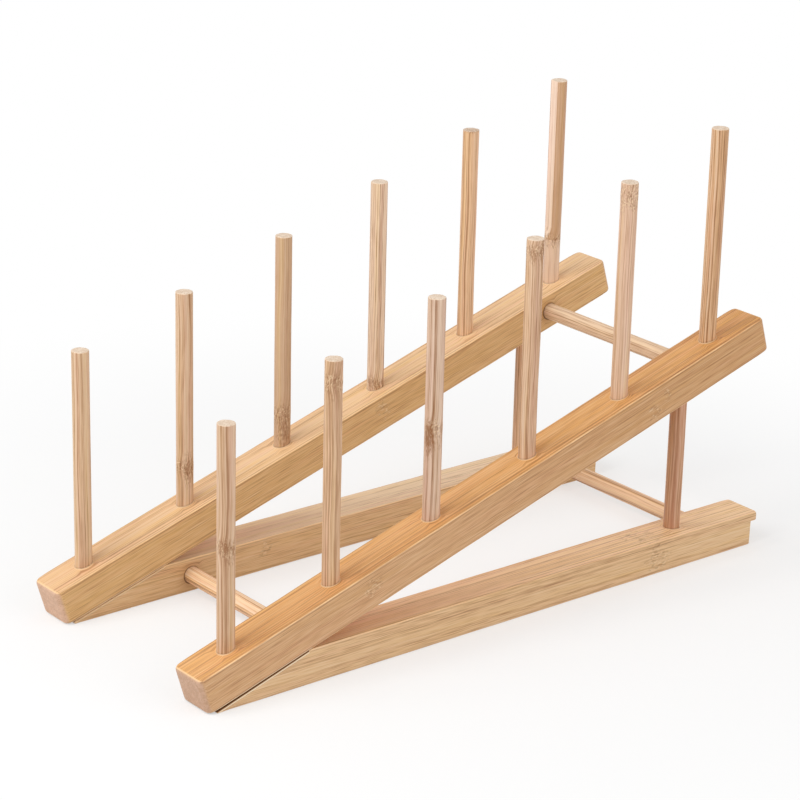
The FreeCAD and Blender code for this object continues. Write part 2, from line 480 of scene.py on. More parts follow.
def section_points(width, height, seats):
    """The section's points in order: face, place across, share of the height, and outward direction."""

    def lines(face, low, high):
        """Places of the grid lines on one face, with those of its own seats among them."""
        return spread(low, high, FLAT_STEP, seat_marks(seats_on(face, seats), "across"))

    half = width / 2 - FLAT_MARGIN
    under, top = (lines(face, -half, half) for face in (UNDER, TOP))
    rises = [lines(face, FLAT_MARGIN, height - FLAT_MARGIN) for face in (LEFT, RIGHT)]
    left, right = ((rise - FLAT_MARGIN) / (height - 2 * FLAT_MARGIN) for rise in rises)
    turn = np.linspace(0, math.pi / 2, CORNER_STEPS)
    parts = [
        (UNDER, under, 0 * under, 0 * under, 0 * under - 1),
        (CORNER, 0 * turn + 1, 0 * turn, np.sin(turn), -np.cos(turn)),
        (LEFT, 0 * left + 1, left, 0 * left + 1, 0 * left),
        (CORNER, 0 * turn + 1, 0 * turn + 1, np.cos(turn), np.sin(turn)),
        (TOP, top[::-1], 0 * top + 1, 0 * top, 0 * top + 1),
        (CORNER, 0 * turn - 1, 0 * turn + 1, -np.sin(turn), np.cos(turn)),
        (RIGHT, 0 * right - 1, right[::-1], 0 * right - 1, 0 * right),
        (CORNER, 0 * turn - 1, 0 * turn, -np.cos(turn), -np.sin(turn)),
    ]
    faces = [np.full(len(places), face) for face, places, *_ in parts]
    columns = zip(*(numbers for _, *numbers in parts))
    return np.concatenate(faces), *(np.concatenate(column) for column in columns)


plain_section = section_points(rail_width, rail_height, [])
print("a section without seats has", len(plain_section[0]), "points")

# %% [markdown]
# The section may change along the rail: the ends are drawn in on a quarter circle, the front of a base rail
# follows the saw line of the wedge, and its rear end has a step. So the points are placed anew at every
# station, from the half width, the floor and roof lines, and the radii and margins there.

# %% Rings along a rail
CORNER_GAP = 0.02 * MM
MIDDLE = 0.5


def section_rings(points, half, floor_line, roof_line, low_radius, high_radius, low_margin, high_margin):
    """Places across and above for every station (rows) and section point (columns).

    A flat point keeps its place across until the rounded ends narrow it, a side point its share of the height
    between the margins, and a corner point lies one radius from its corner's middle in its outward direction.
    """
    face, place, share, out_across, out_above = points
    side = np.where(face == CORNER, place, np.sign(place))
    upper = share > MIDDLE
    radius = np.where(upper, high_radius, low_radius)
    inner = np.where(upper, roof_line - high_radius, floor_line + low_radius)
    narrowed = np.minimum(1.0, (half - radius - CORNER_GAP) / (rail_width / 2 - FLAT_MARGIN))
    across = np.select(
        [(face == UNDER) | (face == TOP), face == CORNER],
        [place * narrowed, side * (half - radius) + radius * out_across],
        side * half,
    )
    between = floor_line + low_margin + share * (roof_line - high_margin - floor_line - low_margin)
    above = np.select(
        [face == UNDER, face == TOP, face == CORNER],
        [floor_line + 0 * radius, roof_line + 0 * radius, inner + radius * out_above],
        between,
    )
    return across, above


plain_bar = (rail_width / 2, 0.0, rail_height, END_ARRIS, END_ARRIS, FLAT_MARGIN, FLAT_MARGIN)
ring_across, ring_above = section_rings(plain_section, *(np.array([[size]]) for size in plain_bar))
print(f"one ring is {np.ptp(ring_across) / MM:.1f} mm wide and {np.ptp(ring_above) / MM:.1f} mm high")

# %% [markdown]
# Hand-sanded arrises are never quite even, so their radius wanders a little along the rail, and grows towards
# the ends. The wandering is a sum of sines whose phases come from a seed, so it is the same every time.

# %% Sanded arrises
END_TURN = np.linspace(0, math.pi / 2, 7)
LONG_ARRIS = 0.9 * MM
SANDED_ARRIS = 2.0 * MM
SANDED_LENGTH = 9.0 * MM
ARRIS_WANDER = 0.25
RAIL_WAVES = (71 * MM, 43 * MM, 27 * MM)
TRIAL_SEED = 1


def wander(places, seed, wavelengths=RAIL_WAVES):
    """A smooth curve between 0 and 1 along the places: a sum of sines with seeded phases."""
    phases = np.random.default_rng(seed).uniform(0, 2 * math.pi, len(wavelengths))
    waves = [np.sin(2 * math.pi * places / length + phase) for length, phase in zip(wavelengths, phases)]
    return MIDDLE + MIDDLE * np.mean(waves, axis=0)


def end_marks(radius):
    """Places on the quarter circle of a rounded end, from the end inwards."""
    return radius * (1 - np.cos(END_TURN))


def end_inset(from_end, radius):
    """How far a section is drawn in near an end: a quarter circle of the radius."""
    inside = np.clip(from_end, 0, radius)
    return radius - np.sqrt(np.maximum(radius**2 - (radius - inside) ** 2, 0))


def long_arris(stations, from_end, seed):
    """Radius of the long arrises, which wanders and grows over the last few millimetres."""
    sanded = np.clip(1 - from_end / SANDED_LENGTH, 0, 1) ** 2
    return LONG_ARRIS * (1 - ARRIS_WANDER * wander(stations, seed)) + sanded * (SANDED_ARRIS - LONG_ARRIS)


trial_places = np.linspace(0, rail_length)
trial_radii = long_arris(trial_places, trial_places, TRIAL_SEED) / MM
print(f"arris radius {trial_radii.max():.2f} mm at an end, {trial_radii.min():.2f} mm at the least")

# %% [markdown]
# The finish will ask every point for its place in the grain, and how far away the nearest bamboo node and
# arris are. A point on a bar touches one face, so its second least distance to the bar's faces is its
# distance to the nearest arris. Each piece lies at a spot of its own in the grain, so no two look alike.

# %% What the points know
GRAIN_SPOT = 0.4


def node_gaps(places, nodes):
    """Distance from each place to the nearest bamboo node, as a share of the reach at the end of its row."""
    gap = np.full(places.shape[:-1], FAR / MM)
    for *middle, reach in nodes:
        gap = np.minimum(gap, np.linalg.norm(places - np.array(middle) * MM, axis=-1) / (reach * MM))
    return gap


def arris_gaps(grain, floor_line, roof_line):
    """Distance to the nearest long arris: the second least of the distances to top, underside and sides."""
    across, above, _ = np.moveaxis(grain, -1, 0)
    roof = repeat_ends(roof_line)[:, None]
    floor_height = repeat_ends(floor_line)[:, None]
    distances = [rail_width / 2 - np.abs(across), above - floor_height, roof - above]
    return np.sort(np.stack(distances), axis=0)[1]


def tell_grain(piece, grain, seed, values):
    """Keeps the grain's coordinates, moved to a spot of their own for each piece, and the other values."""
    spot = np.random.default_rng(seed).uniform(0, GRAIN_SPOT, grain.shape[-1])
    keep_on_points(piece, "grain", grain + spot)
    for label, value in values.items():
        keep_on_points(piece, label, value)


print("each piece's grain is moved by up to", GRAIN_SPOT, "m along every axis")

# %% [markdown]
# The next helpers make a whole rail. They cut the seats into the face that each belongs to, set the rail in
# its place and keep what the finish needs. A rail is glued up from four strips side by side, so a point's
# place across also says which strip it is in.

# %% A rail from its stations
STRIPS = 4
STRIP_EDGE = 0.05


def inner_face(sign):
    """The face towards the middle of the rack: a right rail's left face, and a left rail's right one."""
    return LEFT if sign < 0 else RIGHT


def cut_rail(face, along, across, above, seats, sign):
    """The rail's points after its seats are cut, with the upright shift, the gap to a dowel and the glue."""
    gap = np.full_like(along, FAR)
    glue = np.zeros_like(along)
    upright = np.zeros_like(along)
    for level, inwards in ((UNDER, 1.0), (TOP, -1.0)):
        on = face == level
        moved = cut_seats(along[:, on], across[:, on], seats_on(level, seats))
        along[:, on], across[:, on], depth, gap[:, on], glue[:, on] = moved
        upright[:, on] = inwards * depth
    on = face == inner_face(sign)
    moved = cut_seats(along[:, on], above[:, on], seats_on(inner_face(sign), seats))
    along[:, on], above[:, on], depth, gap[:, on], glue[:, on] = moved
    across[:, on] += sign * depth
    return along, across, above, upright, gap, glue


def finish_rail(node, seed, points, stations, rings, bar, seats, sign, nodes, place):
    """Cuts the seats, places the rail in the rack and keeps what its finish needs.

    bar holds, for every station, the sharp bar's floor and roof lines, the line of the wedge joint and the
    distance to the sawn end, and the radius of its upright corners. place turns places along, across and
    above, and an upright shift, into X, Y and Z.
    """
    face, *_, out_above = points
    facing_up = out_above**2
    across, above = rings
    along = np.broadcast_to(stations[:, None], across.shape)
    grain = end_caps(np.stack([across, above, along], axis=-1))
    *cut, gap, glue = cut_rail(face, along.copy(), across.copy(), above.copy(), seats, sign)
    moved = end_caps(np.stack(cut, axis=-1))
    piece = closed_skin(f"{node}_bamboo", place(*np.moveaxis(moved, -1, 0)))
    strip = np.clip((grain[..., 0] / rail_width + MIDDLE) * STRIPS, STRIP_EDGE, STRIPS - STRIP_EDGE)
    start, end = stations[0], stations[-1]
    round_off = END_ARRIS + (bar["upright"] - END_ARRIS) * (1 - facing_up)
    end_share = np.clip(1 - bar["from_end"][:, None] / round_off, 0, 1)
    values = {
        "strip": strip,
        "seat_gap": repeat_ends(gap),
        "glue": repeat_ends(glue),
        "node_gap": node_gaps(grain, nodes),
        "arris_gap": arris_gaps(grain, bar["floor"], bar["roof"]),
        "joint_gap": np.abs(grain[..., 1] - repeat_ends(bar["joint"])[:, None]),
        "top_share": np.broadcast_to(facing_up, strip.shape),
        "end_share": repeat_ends(end_share),
        "length_share": (grain[..., 2] - start) / (end - start),
    }
    tell_grain(piece, grain, seed, values)
    place_in_rack(piece, node)
    return piece


print(f"{STRIPS} strips of {rail_width / STRIPS / MM:.1f} mm in each rail")

# %% [markdown]
# A sloped rail has six slanted peg seats on top, one seat for the high dowel on its inner face, and two seats
# underneath, for the post and for the screw of the wedge joint. An upright hole in a sloped face has an
# elliptic mouth, so the grid is stretched by one over the cosine of the slope, and the depth runs straight
# down instead of square to the face. A dowel's thickness is read across its axis, so a small table names the
# two axes that lie square to it.

# %% Seats of a sloped rail
SIDES = {"right": -1.0, "left": 1.0}
X_AXIS, Y_AXIS, Z_AXIS = 0, 1, 2
SQUARE_TO = {Y_AXIS: (Z_AXIS, X_AXIS), Z_AXIS: (X_AXIS, Y_AXIS)}
SEAT_CLEARANCE = 0.05 * MM
SCREW_SHANK = 1.8 * MM
HIGH_DOWEL = "rear_upper_cross_dowel"


def radius_of(node, axis):
    """Radius of the seat of a dowel: half its thickness across its axis, and the clearance."""
    low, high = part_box(node)
    aside, _ = SQUARE_TO[axis]
    return (high - low)[aside] / 2 + SEAT_CLEARANCE


def on_rail(along, above):
    """X and Z of a place on the sloped rails."""
    return corner_x + along * cos_slope - above * sin_slope, along * sin_slope + above * cos_slope


def sloped_rail_seats(side, sign):
    """The seats of one sloped rail, from the boxes of the dowels that sit in them."""
    stretch = 1 / cos_slope
    seats = []
    for number in range(1, PEGS + 1):
        node = f"{side}_peg_{number}"
        along = (centre_of(node).x - corner_x + rail_height * sin_slope) / cos_slope
        depth = on_rail(along, rail_height)[1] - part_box(node)[0].z
        seats.append(seat(TOP, along, 0.0, radius_of(node, Z_AXIS), depth, stretch))
    post = f"{side}_rear_post"
    along = (centre_of(post).x - corner_x) / cos_slope
    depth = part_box(post)[1].z - on_rail(along, 0)[1]
    seats.append(seat(UNDER, along, 0.0, radius_of(post, Z_AXIS), depth, stretch))
    along = (centre_of("wedge_screws").x - corner_x) / cos_slope
    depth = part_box("wedge_screws")[1].z - on_rail(along, 0)[1]
    seats.append(seat(UNDER, along, 0.0, SCREW_SHANK, depth, stretch, glued=False))
    dowel = centre_of(HIGH_DOWEL)
    along = (dowel.x - corner_x) * cos_slope + dowel.z * sin_slope
    above = dowel.z * cos_slope - (dowel.x - corner_x) * sin_slope
    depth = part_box(HIGH_DOWEL)[1].y - inner_face_y
    seats.append(seat(inner_face(sign), along, above, radius_of(HIGH_DOWEL, Y_AXIS), depth, glued=False))
    return seats


sloped_seats = {side: sloped_rail_seats(side, sign) for side, sign in SIDES.items()}
print("seats in each sloped rail:", len(sloped_seats["right"]))

# %% [markdown]
# The bar itself is planed straight, with a ripple of a few hundredths of a millimetre. Bamboo nodes are
# marked on its faces: the table gives their places across, above and along the rail and the reach of their
# marks, all in millimetres.

# %% Sloped rails
STATION_STEP = 2.0 * MM
UPRIGHT_ARRIS = 3.2 * MM
LEAST_RADIUS, LEAST_MARGIN = 0.15 * MM, 0.2 * MM
FACE_RIPPLE = 0.06 * MM
SIDE_DRAW, ROOF_DRAW = 1, 2
SLOPED_NODES = {
    "right": [(-10.3, 5.5, 265, 5.0), (-10.3, 11.0, 274, 3.5), (-10.3, 10.0, 94, 5.0), (10.3, 9.0, 160, 5.0)],
    "left": [(-10.3, 10.5, 190, 5.0), (10.3, 8.0, 96, 5.0), (10.3, 9.0, 305, 5.0)],
}
SLOPED_SEEDS = {"right": 11, "left": 31}


def sloped_rail(side, nodes, seed):
    """A sloped rail: an eased bar of one section, tilted about its low corner."""
    sign, seats = SIDES[side], sloped_seats[side]
    ends = np.concatenate([end_marks(END_ARRIS), end_marks(UPRIGHT_ARRIS)])
    marks = np.concatenate([ends, rail_length - ends, seat_marks(seats, "along")])
    stations = spread(0.0, rail_length, STATION_STEP, marks)
    points = section_points(rail_width, rail_height, seats)
    from_end = np.minimum(stations, rail_length - stations)
    inset = end_inset(from_end, END_ARRIS)
    radius = np.maximum(long_arris(stations, from_end, seed) - inset, LEAST_RADIUS)
    margin = np.maximum(FLAT_MARGIN - inset, LEAST_MARGIN)
    ripple = FACE_RIPPLE * wander(stations, seed + SIDE_DRAW)
    half = rail_width / 2 - ripple - end_inset(from_end, UPRIGHT_ARRIS)
    roof = rail_height - FACE_RIPPLE * wander(stations, seed + ROOF_DRAW) - inset
    columns = [array[:, None] for array in (half, inset, roof, radius, radius, margin, margin)]
    wedge_length = base_height / sin_slope
    bar = {
        "floor": 0 * stations,
        "roof": 0 * stations + rail_height,
        "joint": np.where(stations < wedge_length, 0.0, -FAR),
        "from_end": from_end,
        "upright": UPRIGHT_ARRIS,
    }

    def place(along, across, above, upright):
        """Tilts the rail about its low corner."""
        x, z = on_rail(along, above)
        return np.stack([x, across + sign * rail_centre_y, z + upright], axis=-1)

    rings = section_rings(points, *columns)
    return finish_rail(f"{side}_sloped_rail", seed, points, stations, rings, bar, seats, sign, nodes, place)


sloped_rails = {side: sloped_rail(side, SLOPED_NODES[side], SLOPED_SEEDS[side]) for side in SIDES}
for piece in sloped_rails.values():
    print(piece.name, len(piece.data.polygons), "faces")

# %% [markdown]
# A base rail has a seat for the post on top, two for the low dowels on its inner face, and one underneath for
# the screw's head. Its stations run along X. They are close together where its outline turns: at the rounded
# ends, at the end of the wedge and at the step behind.

# %% Seats and stations of a base rail
TIP_ROUND = 0.3 * MM
REAR_ARRIS = 2.0 * MM
SAWN_ARRIS = 0.5 * MM
STEP_DEPTH = 5.0 * MM
STEP_LEAN = 0.25 * MM
STEP_ROUND = 0.45 * MM
STEP_TURN = np.linspace(0, 1, 5)
STEP_STATIONS = np.linspace(0, 1, 9)
WEDGE_BLEND = 3.0 * MM
HEAD_RADIUS = 3.6 * MM
LOW_DOWELS = ("front_cross_dowel", "rear_lower_cross_dowel")


def base_rail_seats(side, sign):
    """The seats of one base rail: the post on top, the low dowels inside and the screw head underneath."""
    post = f"{side}_rear_post"
    post_depth = base_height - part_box(post)[0].z
    seats = [seat(TOP, centre_of(post).x, 0.0, radius_of(post, Z_AXIS), post_depth)]
    for node in LOW_DOWELS:
        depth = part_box(node)[1].y - inner_face_y
        middle = centre_of(node)
        seats.append(seat(inner_face(sign), middle.x, middle.z, radius_of(node, Y_AXIS), depth, glued=False))
    screw_x = centre_of("wedge_screws").x
    depth = (screw_x - corner_x - HEAD_RADIUS) * tan_slope - 2 * SAWN_ARRIS
    seats.append(seat(UNDER, screw_x, 0.0, HEAD_RADIUS, depth, glued=False))
    return seats


def base_stations(seats, start, end):
    """Stations of a base rail in X: even ones, both rounded ends, the wedge's end, the step and the seats."""
    step_x = end - STEP_DEPTH
    marks = [
        start + end_marks(TIP_ROUND),
        end - end_marks(END_ARRIS),
        end - end_marks(REAR_ARRIS),
        [wedge_end_x, wedge_end_x - WEDGE_BLEND, wedge_end_x + WEDGE_BLEND],
        step_x - STEP_ROUND * (1 - STEP_TURN),
        step_x + STEP_LEAN * STEP_STATIONS,
        step_x + STEP_LEAN + STEP_ROUND * STEP_TURN,
        seat_marks(seats, "along"),
    ]
    return spread(start, end, STATION_STEP, np.concatenate(marks))


base_seats = {side: base_rail_seats(side, sign) for side, sign in SIDES.items()}
print("seats in each base rail:", len(base_seats["right"]))

# %% [markdown]
# A base rail is the same bar, but its roof follows the saw line of the wedge up to full height, and its floor
# steps up behind to leave a lip. The step is a short run of stations in which the floor climbs almost
# straight up, with small rounds below and above. Sawn edges are only lightly eased, and the saw line runs a
# hair low towards the tip, so a thin dark seam stays open between the two rails.

# %% Floor and edges of a base rail
LIP = 4.5 * MM
SAWN_MARGIN = 0.6 * MM
ARRIS_SHARE, MARGIN_SHARE = 0.38, 0.4


def step_floor(stations, end):
    """Height of the floor: 0, then a round, an almost upright wall and a round into the lip's underside."""
    step_x = end - STEP_DEPTH
    full = base_height - LIP
    below = np.clip((stations - step_x + STEP_ROUND) / STEP_ROUND, 0, 1)
    wall = np.clip((stations - step_x) / STEP_LEAN, 0, 1)
    over = np.clip((stations - step_x - STEP_LEAN) / STEP_ROUND, 0, 1)
    foot = STEP_ROUND * (1 - np.sqrt(1 - below**2))
    head = STEP_ROUND * np.sqrt(1 - (1 - over) ** 2)
    return foot + wall * (full - 2 * STEP_ROUND) + head


def base_edges(stations, end, seed, inset, tall):
    """Low and high arris radii, then low and high margins, small where sawn and limited by the height.

    The low edges are sawn behind the step, and the high edges along the wedge.
    """
    past_wedge = np.clip((stations - wedge_end_x) / WEDGE_BLEND, 0, 1)
    before_step = np.clip((end - STEP_DEPTH - stations) / STEP_ROUND, 0, 1)
    eased = long_arris(stations, end - stations, seed)
    edges = []
    for sawn, full, least, share in (
        (SAWN_ARRIS, eased, LEAST_RADIUS, ARRIS_SHARE),
        (SAWN_MARGIN, FLAT_MARGIN, LEAST_MARGIN, MARGIN_SHARE),
    ):
        for whole in (before_step, past_wedge):
            edges.append(np.clip(sawn + whole * (full - sawn) - inset, least, share * tall))
    return edges


print(f"lip {LIP / MM:.1f} mm thick over a step {STEP_DEPTH / MM:.1f} mm deep")

# %% [markdown]
# With its floor, its edges and its seats at hand, a base rail is put together as the sloped rails were. The
# table of its bamboo nodes is written the same way, with the places along in X.

# %% Base rails
SEAMS = {"right": (0.5 * MM, 0.03 * MM), "left": (0.03 * MM, 0.02 * MM)}
BASE_NODES = {
    "right": [(-10.3, 7.6, 98, 9.0), (-0.5, 16.5, 95, 9.0), (10.3, 7.0, 20, 6.0)],
    "left": [(-10.3, 11.5, -50, 5.0), (10.3, 8.0, 60, 6.0)],
}
BASE_SEEDS = {"right": 51, "left": 71}


def base_rail(side, nodes, seed):
    """A base rail: an eased bar, wedge-shaped in front and stepped behind."""
    sign, seats = SIDES[side], base_seats[side]
    start, end = (corner.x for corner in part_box(f"{side}_base_rail"))
    stations = base_stations(seats, start, end)
    points = section_points(rail_width, base_height, seats)
    tip = end_inset(stations - start, TIP_ROUND)
    inset = tip + end_inset(end - stations, END_ARRIS)
    bare_floor = step_floor(stations, end)
    seam = np.interp(stations, [start, wedge_end_x], SEAMS[side])
    saw_line = (stations - corner_x) * tan_slope - seam
    bare_roof = np.minimum(saw_line, base_height - FACE_RIPPLE * wander(stations, seed + ROOF_DRAW))
    floor_line = bare_floor + inset
    roof = bare_roof - inset
    edges = base_edges(stations, end, seed, inset, roof - floor_line)
    side_inset = tip + end_inset(end - stations, REAR_ARRIS)
    half = rail_width / 2 - FACE_RIPPLE * wander(stations, seed + SIDE_DRAW) - side_inset
    columns = [array[:, None] for array in (half, floor_line, roof, *edges)]
    bar = {
        "floor": bare_floor,
        "roof": bare_roof,
        "joint": np.where(stations < wedge_end_x, bare_roof, FAR),
        "from_end": end - stations,
        "upright": REAR_ARRIS,
    }

    def place(along, across, above, upright):
        """Sets the rail on the table."""
        return np.stack([along, across + sign * rail_centre_y, above + upright], axis=-1)

    rings = section_rings(points, *columns)
    return finish_rail(f"{side}_base_rail", seed, points, stations, rings, bar, seats, sign, nodes, place)


base_rails = {side: base_rail(side, BASE_NODES[side], BASE_SEEDS[side]) for side in SIDES}
for piece in base_rails.values():
    print(piece.name, len(piece.data.polygons), "faces")

# %% [markdown]
# ## Dowels
# Pegs, posts and cross dowels are bamboo sticks planed down from split culm, so they are not truly round:
# a few narrow flats run their whole length. The radius in each direction is the least distance to any of
# the flats, (radius - cut) / cos(angle to the flat), and never more than the full radius. Each flat wanders a
# little along the stick, and the skin swells slightly at a bamboo node.

# %% Planed flats
FLATS = 7
FLAT_CUT = (0.04 * MM, 0.24 * MM)
FLAT_SPREAD = 0.3
FLAT_WANDER = math.radians(5)
FLAT_LEAST = 0.5
NODE_SWELL = 0.12 * MM
NODE_LENGTH = 2.6 * MM
SWELL_LEVELS = (0.6, 0.4)
SWELL_WAVES = 3
FACET_RUN = 6.0 * MM
STICK_WAVES = (93 * MM, 57 * MM)
VIEW_SIDE = math.atan2(-math.cos(VIEW_AZIMUTH), math.sin(VIEW_AZIMUTH))


def stick_radius(along, around, radius, seed, nodes, facets):
    """Distance from the axis to the nearest planed flat, swollen at the nodes, and that flat's number."""
    draw = np.random.default_rng(seed)
    turns = (np.arange(FLATS) + draw.uniform(-FLAT_SPREAD, FLAT_SPREAD, FLATS)) / FLATS
    facing = np.concatenate([2 * math.pi * turns, [VIEW_SIDE + math.radians(turn) for turn, *_ in facets]])
    cut = np.concatenate([draw.uniform(*FLAT_CUT, FLATS), [depth for _, depth, _ in facets]])
    starts = np.concatenate([np.full(FLATS, -FACET_RUN), [start for *_, start in facets]])
    opened = np.clip((along[:, None] - starts) / FACET_RUN, 0, 1)[:, None, :]
    drift = [(wander(along, seed + flat, STICK_WAVES) - MIDDLE) * (flat < FLATS) for flat in range(len(cut))]
    drift = np.stack(drift, axis=-1)[:, None, :]
    towards = np.cos(around[None, :, None] - facing - FLAT_WANDER * drift)
    depth = radius - cut * opened * (1 + drift)
    reach = np.where(towards > FLAT_LEAST, depth / np.maximum(towards, FLAT_LEAST), radius)
    shape = np.minimum(reach.min(axis=-1), radius)
    uneven = SWELL_LEVELS[0] + SWELL_LEVELS[1] * np.cos(SWELL_WAVES * around + seed)
    for node, _ in nodes:
        swell = NODE_SWELL * np.exp(-(((along - node) / NODE_LENGTH) ** 2))
        shape = shape + swell[:, None] * uneven[None, :]
    return shape, reach.argmin(axis=-1)


print(f"{FLATS} flats on a stick, planed {FLAT_CUT[0] / MM:.2f} to {FLAT_CUT[1] / MM:.2f} mm deep")

# %% [markdown]
# The fibres of a stick are not quite straight: the grain's coordinates are turned about the axis, slowly
# along the stick and with a swerve at each node. A stain is a brown patch, strongest in its middle, and a
# two-tone stick shows the tan skin of the culm beside its first facet.

# %% Fibres and stains
FIBRE_DRIFT = 0.16
FIBRE_SWERVE = 0.25
SWERVE_LENGTH = 5.0 * MM
FOOT_TAN = 0.4


def fibre_turn(along, seed, nodes):
    """Angle by which the fibres have turned about the axis: a slow drift, and a bell at each node."""
    turn = FIBRE_DRIFT * (wander(along, seed, STICK_WAVES) - MIDDLE)
    for node, _ in nodes:
        turn = turn + FIBRE_SWERVE * np.exp(-(((along - node) / SWERVE_LENGTH) ** 2))
    return turn


def stick_grain(rings, middle, axis, turn):
    """Places in the grain: those about the axis, turned by each ring's angle, and the place along it."""
    aside, ahead = (rings[..., square] - middle[square] for square in SQUARE_TO[axis])
    cos_turn, sin_turn = np.cos(turn)[:, None], np.sin(turn)[:, None]
    turned = (aside * cos_turn - ahead * sin_turn, aside * sin_turn + ahead * cos_turn)
    return np.stack([*turned, rings[..., axis]], axis=-1)


def stain(along, around, patches):
    """How brown each point is: the darkest of the patches, each a bell along the stick and around it."""
    brown = np.zeros((len(along), len(around)))
    for place, turn, length, width, strength in patches:
        aside = np.angle(np.exp(1j * (around - VIEW_SIDE - math.radians(turn))))
        along_bell = np.exp(-(((along - place) / length) ** 2))
        around_bell = np.exp(-((aside / math.radians(width)) ** 2))
        brown = np.maximum(brown, strength * along_bell[:, None] * around_bell[None, :])
    return brown


def tan_skin(along, flat, nodes):
    """How tan a two-tone stick is: above its first node wholly, save on the first facet, and partly below."""
    first_node, _ = nodes[0]
    return np.where(along[:, None] > first_node, flat != FLATS, FOOT_TAN)


print(f"fibres swerve by {math.degrees(FIBRE_SWERVE):.0f} degrees at a node")

# %% [markdown]
# A stick is made like a rail: rings along its axis, closed at both ends, with what its finish needs kept on
# the points. It lies in the box of its drawn dowel.

# %% A planed stick
STICK_POINTS = 112
STICK_STEP = 0.9 * MM
END_ROUND = 0.5 * MM


def box_corners(node):
    """The low and the high corner of a node's box, as arrays."""
    return [np.array(corner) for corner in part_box(node)]


def stick_rings(node, axis, seed, nodes, facets):
    """A stick's places along, distances to the nearer end, angles, rings, and each point's nearest flat."""
    low, high = box_corners(node)
    aside, ahead = SQUARE_TO[axis]
    middle = (low + high) / 2
    length = high[axis] - low[axis]
    ends = end_marks(END_ROUND)
    along = spread(0.0, length, STICK_STEP, np.concatenate([ends, length - ends]))
    from_end = np.minimum(along, length - along)
    around = 2 * math.pi * np.arange(STICK_POINTS) / STICK_POINTS
    reach, flat = stick_radius(along, around, (high[aside] - low[aside]) / 2, seed, nodes, facets)
    reach = np.maximum(reach - end_inset(from_end, END_ROUND)[:, None], END_ROUND)
    rings = np.empty((*reach.shape, len(middle)))
    rings[..., aside] = middle[aside] + reach * np.cos(around)
    rings[..., ahead] = middle[ahead] + reach * np.sin(around)
    rings[..., axis] = low[axis] + along[:, None]
    return along, from_end, around, rings, flat


def stick(node, axis, seed, standing, nodes=(), patches=(), facets=(), two_tone=False):
    """A stick with rounded ends in a dowel node's place.

    standing tells how far places stand off the face the stick sits in. Nodes are places along the stick and
    how far their marks reach. Facets are extra flats, turned so far to the right of the camera's side, cut so
    deep and opening from a place along the stick. A two-tone stick is tan beside its first facet.
    """
    low, high = box_corners(node)
    along, from_end, around, rings, flat = stick_rings(node, axis, seed, nodes, facets)
    rings = end_caps(rings)
    piece = closed_skin(f"{node}_stick", rings)
    near_node = node_gaps(rings[..., axis:axis + 1] - low[axis], [(place / MM, far) for place, far in nodes])
    end_share = repeat_ends(np.clip(1 - from_end / END_ROUND, 0, 1))[:, None]
    tan_side = tan_skin(along, flat, nodes) if two_tone else 0.0 * flat
    values = {
        "node_gap": near_node,
        "end_share": np.broadcast_to(end_share, near_node.shape),
        "seat_gap": standing(rings),
        "stain": repeat_ends(stain(along, around, patches)),
        "tan_side": repeat_ends(tan_side),
    }
    turn = repeat_ends(fibre_turn(along, seed, nodes))
    tell_grain(piece, stick_grain(rings, (low + high) / 2, axis, turn), seed, values)
    place_in_rack(piece, node)
    return piece


print("points around a stick:", STICK_POINTS)

# %% [markdown]
# The finish darkens a stick next to its seat, so it has to know how far each point stands off the face that
# the stick sits in. Pegs stand on the sloped rails' tops, posts between base rails and sloped rails, and
# cross dowels between the inner faces.

# %% Standing off the seats
def above_sloped_rail(places):
    """Upright distance of places (X, Y, Z last) above the sloped rails' top."""
    return places[..., Z_AXIS] - (places[..., X_AXIS] - corner_x) * tan_slope - rail_height / cos_slope


def between_rails(places):
    """Distance of a cross dowel's places from the nearer rail's inner face."""
    return inner_face_y - np.abs(places[..., Y_AXIS])


def between_base_and_slope(places):
    """Distance of a post's places from the base rail's top or the sloped rail's underside."""
    x, z = places[..., X_AXIS], places[..., Z_AXIS]
    return np.minimum(z - base_height, (x - corner_x) * tan_slope - z)


peg_top = np.array([*centre_of("right_peg_1").xy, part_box("right_peg_1")[1].z])
print(f"the pegs stand {above_sloped_rail(peg_top) / MM:.1f} mm above their rails")

# %% [markdown]
# Every peg was cut from another culm, and it shows: some have a node with dark ticks, some a brown patch, and
# one shows a wide pale flat beside its tan skin. The table below says for each peg how far up its nodes and
# patches lie, as a share of what stands above the rail. A node also has the reach of its ticks in mm. A patch
# has its turn to the right of the camera's side in degrees, its length in mm, its width in degrees and its
# strength. A facet has its turn in degrees, its depth in mm and where it begins.

